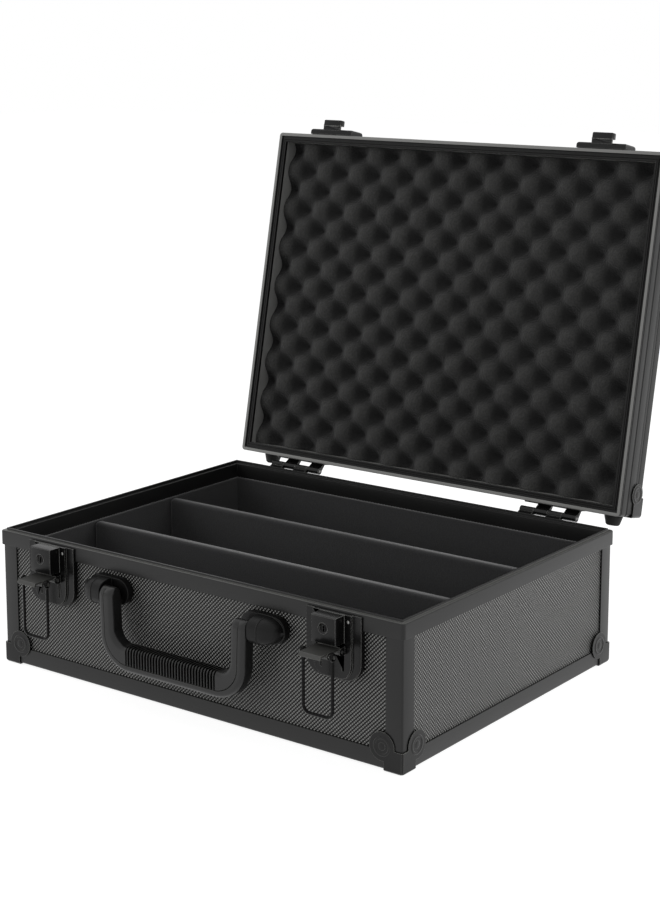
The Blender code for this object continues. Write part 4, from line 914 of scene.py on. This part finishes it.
# The right half of the handle's line, from the arm's top to the grip's middle: place, heading and half
# widths. Over its top the arm narrows, by a share that falls with the fourth power of the cosine.
top = np.linspace(0, math.pi / 2, arm_steps)[:-1]
drop = np.linspace(0, 1, arm_steps)[:-1]
bend = np.linspace(0, math.pi / 2, bend_steps)
rib_half = rib_count * rib_pitch / 2
grip = np.linspace(rib_half, 0, rib_count * rib_steps // 2 + 1)
line_x = np.concatenate([np.full_like(top, arm_place), arm_place - arm_lean * drop,
                         bend_place + bend_radius * np.cos(bend), grip])
line_z = np.concatenate([pivot_height + arm_half_width * np.cos(top),
                         pivot_height + (grip_height + bend_radius - pivot_height) * drop,
                         grip_height + bend_radius - bend_radius * np.sin(bend),
                         np.full_like(grip, grip_height)])
heading = np.concatenate([np.full(len(top) + len(drop), -math.pi / 2), -math.pi / 2 - bend,
                          np.full(len(grip), -math.pi)])
half_width = np.concatenate([arm_half_width * (1 - top_round_share * np.cos(top) ** 4),
                             np.full(len(drop), arm_half_width),
                             np.linspace(arm_half_width, grip_half_width, bend_steps),
                             np.full(len(grip), grip_half_width)])
half_depth = np.concatenate([handle_half_depth * np.maximum(np.sin(top), 1 / arm_steps),
                             np.full(len(line_x) - len(top), handle_half_depth)])


def between_ribs(x):
    """How far down a groove a place along the grip is: |sin| of half a turn a pitch, cut to nothing at the
    crest and to one at the groove's floor."""
    return np.clip((np.abs(np.sin(math.pi * x / rib_pitch)) - rib_crest_share) / rib_slope_share, 0, 1)


groove = np.concatenate([np.zeros(len(line_x) - len(grip)), rib_depth * between_ribs(grip)])
both_ways = [np.concatenate([part, mirror * part[-2::-1]]) for part, mirror in
             ((line_x, -1), (line_z, 1), (half_width, 1), (half_depth, 1), (groove, 1))]
line_x, line_z, half_width, half_depth, groove = both_ways
heading = np.concatenate([heading, -2 * math.pi - heading[-2::-1]])
radius = np.minimum(section_radius, half_depth * section_share)[:, None]
wide, deep = round_box(half_width[:, None], half_depth[:, None], radius, section_steps)
# A line moulded along the outer face parts the smooth rail from the rest. It joins the section after its
# third corner, and it is shallow over the arms' tops.
rail = half_width[:, None] - rail_width
rail_depth = rail_line_depth * half_depth[:, None] / handle_half_depth
line_wide = rail + rail_line_width / 2 * np.array([-1, 0, 1])
line_deep = -half_depth[:, None] + rail_depth * np.array([0, 1, 0])
wide = np.insert(wide, [3 * section_steps] * 3, line_wide, axis=1)
deep = np.insert(deep, [3 * section_steps] * 3, line_deep, axis=1)
ribbed = wide < rail
wide = np.where(ribbed, np.maximum(wide, groove[:, None] - half_width[:, None]), wide)
limit = half_depth[:, None] - groove[:, None]
deep = np.where(ribbed, np.clip(deep, -limit, limit), deep)
handle_rings = np.stack([line_x[:, None] - np.sin(heading)[:, None] * wide,
                         -half_y - handle_reach + deep,
                         line_z[:, None] + np.cos(heading)[:, None] * wide], axis=2)
stub_start = arm_place + arm_half_width - trunnion_sink
stub_end = arm_place + arm_half_width + trunnion_length
stub_profile = [(trunnion_radius, 0), (trunnion_radius, stub_end - stub_start)]
handle_grids = [(handle_rings, False)]
for side in (-1, 1):
    centre = (side * stub_start, -half_y - handle_reach, pivot_height)
    handle_grids.append((turned(stub_profile, centre, (side, 0, 0)), False))
handle = solid("moulded_handle", handle_grids, plastic, "handle", ["handle"])
# A point's painted shade, which takes the gloss out of the grooves, is its groove's depth above the rail
# and between the grip's ends, and nothing elsewhere.
point_x, _, point_z = points_of(handle.data).T
on_ribs = (np.abs(point_x) < rib_half + clearance) & (point_z > grip_height - grip_half_width + rail_width)
handle_rib_shade = handle.data.attributes.new("rib_shade", "FLOAT", "POINT")
handle_rib_shade.data.foreach_set("value", np.where(on_ribs, between_ribs(point_x), 0))


# Handle brackets: pill-shaped plates of a black moulding drawn duller than the handle's and painted darker
# as painted shade, each with a domed boss for a stub pin and a bead round the boss where its straight part
# ends. Screws from inside hold them to the front board.
bracket_round = 0.0005
bracket_painted_shade_black = "#090909"
bracket_light = "#2e2e2d"
bracket_roughness = 0.42
bracket_gloss = 0.22
boss_start = 0.0733
boss_straight = 0.0090
bead_radius = 0.0006
bead_sink = 0.0002
bead_steps = 8
point_digits = 6
raised_bracket = 0.0040

bracket_painted_shade_plastic = moulded_abs("moulded_dull_black_abs_with_painted_shade", bracket_painted_shade_black, bracket_light, bracket_roughness,
                              bracket_gloss)


def boss_bead(node):
    """A bead: a small circle carried along the boss's own section, which is taken in order of its angle:
    section point + radius x (cos of the turn outwards + sin of the turn along the boss)."""
    points = np.unique(points_of(nodes[node].data).round(point_digits), axis=0)
    near = np.abs(np.abs(points[:, 0]) - boss_start - boss_straight) < clearance
    section = points[near & (points[:, 1] < -half_y - raised_bracket)]
    middle = np.array([section[0, 0], -half_y, pivot_height])
    section = section[np.argsort(np.arctan2(section[:, 2] - middle[2], middle[1] - section[:, 1]))]
    along = np.gradient(section, axis=0)
    along /= np.linalg.norm(along, axis=1, keepdims=True)
    outward = np.cross(along, (1, 0, 0))
    outward *= np.sign(np.sum(outward * (section - middle), axis=1, keepdims=True))
    turn = np.linspace(0, 2 * math.pi, bead_steps, endpoint=False)[:, None]
    line = (section - bead_sink * outward)[:, None]
    return line + bead_radius * (np.cos(turn) * outward[:, None] + np.sin(turn) * np.array([1, 0, 0]))


for side in ("left", "right"):
    node = "handle_bracket_" + side
    eased(node, "bracket_" + side, bracket_painted_shade_plastic, bracket_round)
    solid("boss_bead_" + side, [(boss_bead(node), False)], bracket_painted_shade_plastic, "case")


# Latches: pressed steel plated black, a flanged base with the lock's housing, a lever on a steel pin, and a
# bent wire bail on a second pin. Two rivets hold each base.
latch_place = 0.1405
lever_height = 0.084
bail_reach = 0.0200
wire_place = 0.0130
wire_radius = 0.0012
wire_corner = 0.0056
bar_height = 0.0385
eye_radius = 0.0032
eye_bore = 0.0017
wire_steps = 14
wire_corner_steps = 10
latch_rivet_place = 0.0141
latch_rivet_height = 0.1055
latch_rivet_radius = 0.0013
latch_rivet_head = 0.0007
raised_face = 0.0035
housing_face = 0.0140
lock_height = 0.101
collar_radius = 0.0044
collar_bore = 0.0030
collar_height = 0.0003
collar_flat = 0.0004
collar_dish = 0.0003
plated_black = "#131313"
# The plating's edge colour is light: wear, and a painted highlight.
plated_wear_and_highlight = "#8a8a87"
plated_roughness = 0.24
plated_metal = 0.55
plating_ripple = 0.0030
# The lever's paler grey is a painted highlight.
lever_painted_highlight_grey = "#3e3e3c"
lever_roughness = 0.45
lever_metal = 0.12
fitting_round = 0.00028
small_round = 0.00015
oxide_black = "#080808"
oxide_wear_and_highlight = "#626260"
oxide_roughness = 0.22
oxide_metal = 0.85
steel_grey = "#8e8e8c"
steel_roughness = 0.3
steel_scratch = 0.0004

fitting = coated_steel("black_plated_steel", plated_black, plated_wear_and_highlight, plated_roughness, plated_metal,
                       plating_ripple)
# The lever's plating is drawn rougher and less metallic, and painted paler: a painted highlight where its
# face catches the light from above.
lever_highlit_plating = coated_steel("dull_plated_steel_with_painted_highlight", lever_painted_highlight_grey, plated_wear_and_highlight, lever_roughness, lever_metal,
                             plating_ripple)

# Zinc-plated steel, tumbled: pale grey, with its gloss broken by scratches, drawn coarse enough to show.
steel, tree, place = new_tree("zinc_plated_steel")
scratch = add(tree, "TexNoise", {"Vector": place, "Scale": 1 / steel_scratch, "Detail": 3})
spread = {"To Min": steel_roughness / 2, "To Max": steel_roughness * 2}
rough = add(tree, "MapRange", {"Value": scratch, **spread})
shader = add(tree, "BsdfPrincipled", {"Base Color": linear(steel_grey), "Metallic": 1, "Roughness": rough})
add(tree, "OutputMaterial", {"Surface": shader})

# Steel blacked in a bath: an oxide darker than the plating, with more of the metal in its gloss. Its edges
# are painted paler, for wear and a painted highlight.
blacked = coated_steel("oxide_blacked_steel", oxide_black, oxide_wear_and_highlight, oxide_roughness, oxide_metal,
                       orange_peel)


def wire_bail(across):
    """The bail: a circle carried down one leg, round two corners and up the other, with an oval ring for an
    eye at each end: centre + mean radius x turn, thick across the eye and thin round it."""
    turn = np.linspace(0, math.pi / 2, wire_corner_steps)
    centre_x, centre_z = wire_place - wire_corner, bar_height + wire_corner
    half_line = np.concatenate([[wire_place], centre_x + wire_corner * np.cos(turn)])
    half_rise = np.concatenate([[lever_height - eye_bore - wire_radius / 2],
                                centre_z - wire_corner * np.sin(turn)])
    half_turn = np.concatenate([[0], turn])
    x = np.concatenate([half_line, -half_line[::-1]])[:, None]
    z = np.concatenate([half_rise, half_rise[::-1]])[:, None]
    bend = np.concatenate([half_turn, math.pi - half_turn[::-1]])[:, None]
    around = np.linspace(0, 2 * math.pi, wire_steps, endpoint=False)
    out = wire_radius * np.cos(around)
    y = np.broadcast_to(-half_y - bail_reach + wire_radius * np.sin(around), (len(x), wire_steps))
    wire = np.stack([across + x + np.cos(bend) * out, y, z - np.sin(bend) * out], axis=2)
    grids = [(wire, False)]
    mean = (eye_radius + eye_bore) / 2
    thin = (eye_radius - eye_bore) / 2
    oval = np.stack([mean + thin * np.cos(around), wire_radius * np.sin(around)], axis=1)
    for side in (-1, 1):
        eye = (across + side * wire_place, -half_y - bail_reach, lever_height)
        grids.append((turned(oval, eye, (side, 0, 0)), True))
    return grids


for name, side in (("left", -1), ("right", 1)):
    across = side * latch_place
    eased("latch_base_" + name, "latch_plate_" + name, fitting, fitting_round)
    eased("latch_lever_" + name, "lever_plate_" + name, lever_highlit_plating, fitting_round)
    eased("lock_cylinder_" + name, "key_barrel_" + name, blacked, small_round)
    solid("bail_wire_" + name, wire_bail(across), blacked, "bail_" + name, ["latch_bail_" + name])
    dressed("latch_pin_" + name, steel)
    dressed("bail_pin_" + name, steel)
    head = rivet_head(latch_rivet_radius, latch_rivet_head)
    rivets = [(turned(head, (x, -half_y - raised_face, latch_rivet_height), (0, -1, 0)), False)
              for x in (across - latch_rivet_place, across + latch_rivet_place)]
    solid("latch_rivets_" + name, rivets, steel, "case")
    collar = softened([
        (collar_bore, -collar_dish - rivet_sink),
        (collar_radius, -collar_dish - rivet_sink),
        (collar_radius, collar_height),
        (collar_radius - collar_flat, collar_height),
        (collar_bore, -collar_dish),
    ], small_round)
    centre = (across, -half_y - housing_face, lock_height)
    solid("lock_collar_" + name, [(turned(collar, centre, (0, -1, 0)), True)], fitting, "case")


# Strikers on the lid: a thick steel plate with a hook for the bail's bar, plated black as the latches are and
# held through the lid's wall from inside.
for side in ("left", "right"):
    eased("striker_" + side, "striker_hook_" + side, fitting, fitting_round)


# Hinges: two leaves of black-plated steel, with rolled knuckles on a bright steel pin. Four low domed rivets
# hold each leaf, the lower to the case's back and the upper to the lid's rim.
hinge_place = 0.134
hinge_rivet_places = (-0.0200, -0.0067, 0.0067, 0.0200)
hinge_rivet_height = 0.0900
hinge_lid_rivet_height = 0.1295
hinge_rivet_radius = 0.0021
hinge_rivet_head = 0.0005
hinge_wall_face = 0.1488
hinge_rim_face = 0.1515
hinge_round = 0.0002

head = rivet_head(hinge_rivet_radius, hinge_rivet_head)
for name, side in (("left", -1), ("right", 1)):
    eased("hinge_lower_leaf_" + name, "case_leaf_" + name, fitting, hinge_round)
    eased("hinge_upper_leaf_" + name, "lid_leaf_" + name, fitting, hinge_round)
    dressed("hinge_pin_" + name, steel)
    across = side * hinge_place + np.array(hinge_rivet_places)
    low = [turned(head, (x, hinge_wall_face, hinge_rivet_height), (0, 1, 0)) for x in across]
    high = [leaned(turned(head, (x, hinge_rim_face, hinge_lid_rivet_height), (0, 1, 0))) for x in across]
    solid("case_leaf_rivets_" + name, [(rivet, False) for rivet in low], steel, "case")
    solid("lid_leaf_rivets_" + name, [(rivet, False) for rivet in high], steel, "lid")


# Feet: tapered and moulded in rubber, and screwed to the back caps through the middle. The shut case stands
# on them when it is put on its back.
rubber_black = "#151515"
rubber_bloom = "#262625"
rubber_roughness = 0.78
rubber_grain = 0.0014
foot_round = 0.0005

# Moulded natural rubber: matt black with a slight grey bloom.
rubber, bloom, bump = grained("moulded_rubber", rubber_grain, 2, spark_depth)
finished(rubber, bloom, rubber_black, rubber_bloom, {"Roughness": rubber_roughness, "Normal": bump})

for node in ("case_foot_left", "case_foot_right", "lid_foot_left", "lid_foot_right"):
    eased(node, "rubber_" + node, rubber, foot_round)


# Size of the dressed model: its low corner and its high corner.
low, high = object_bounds()
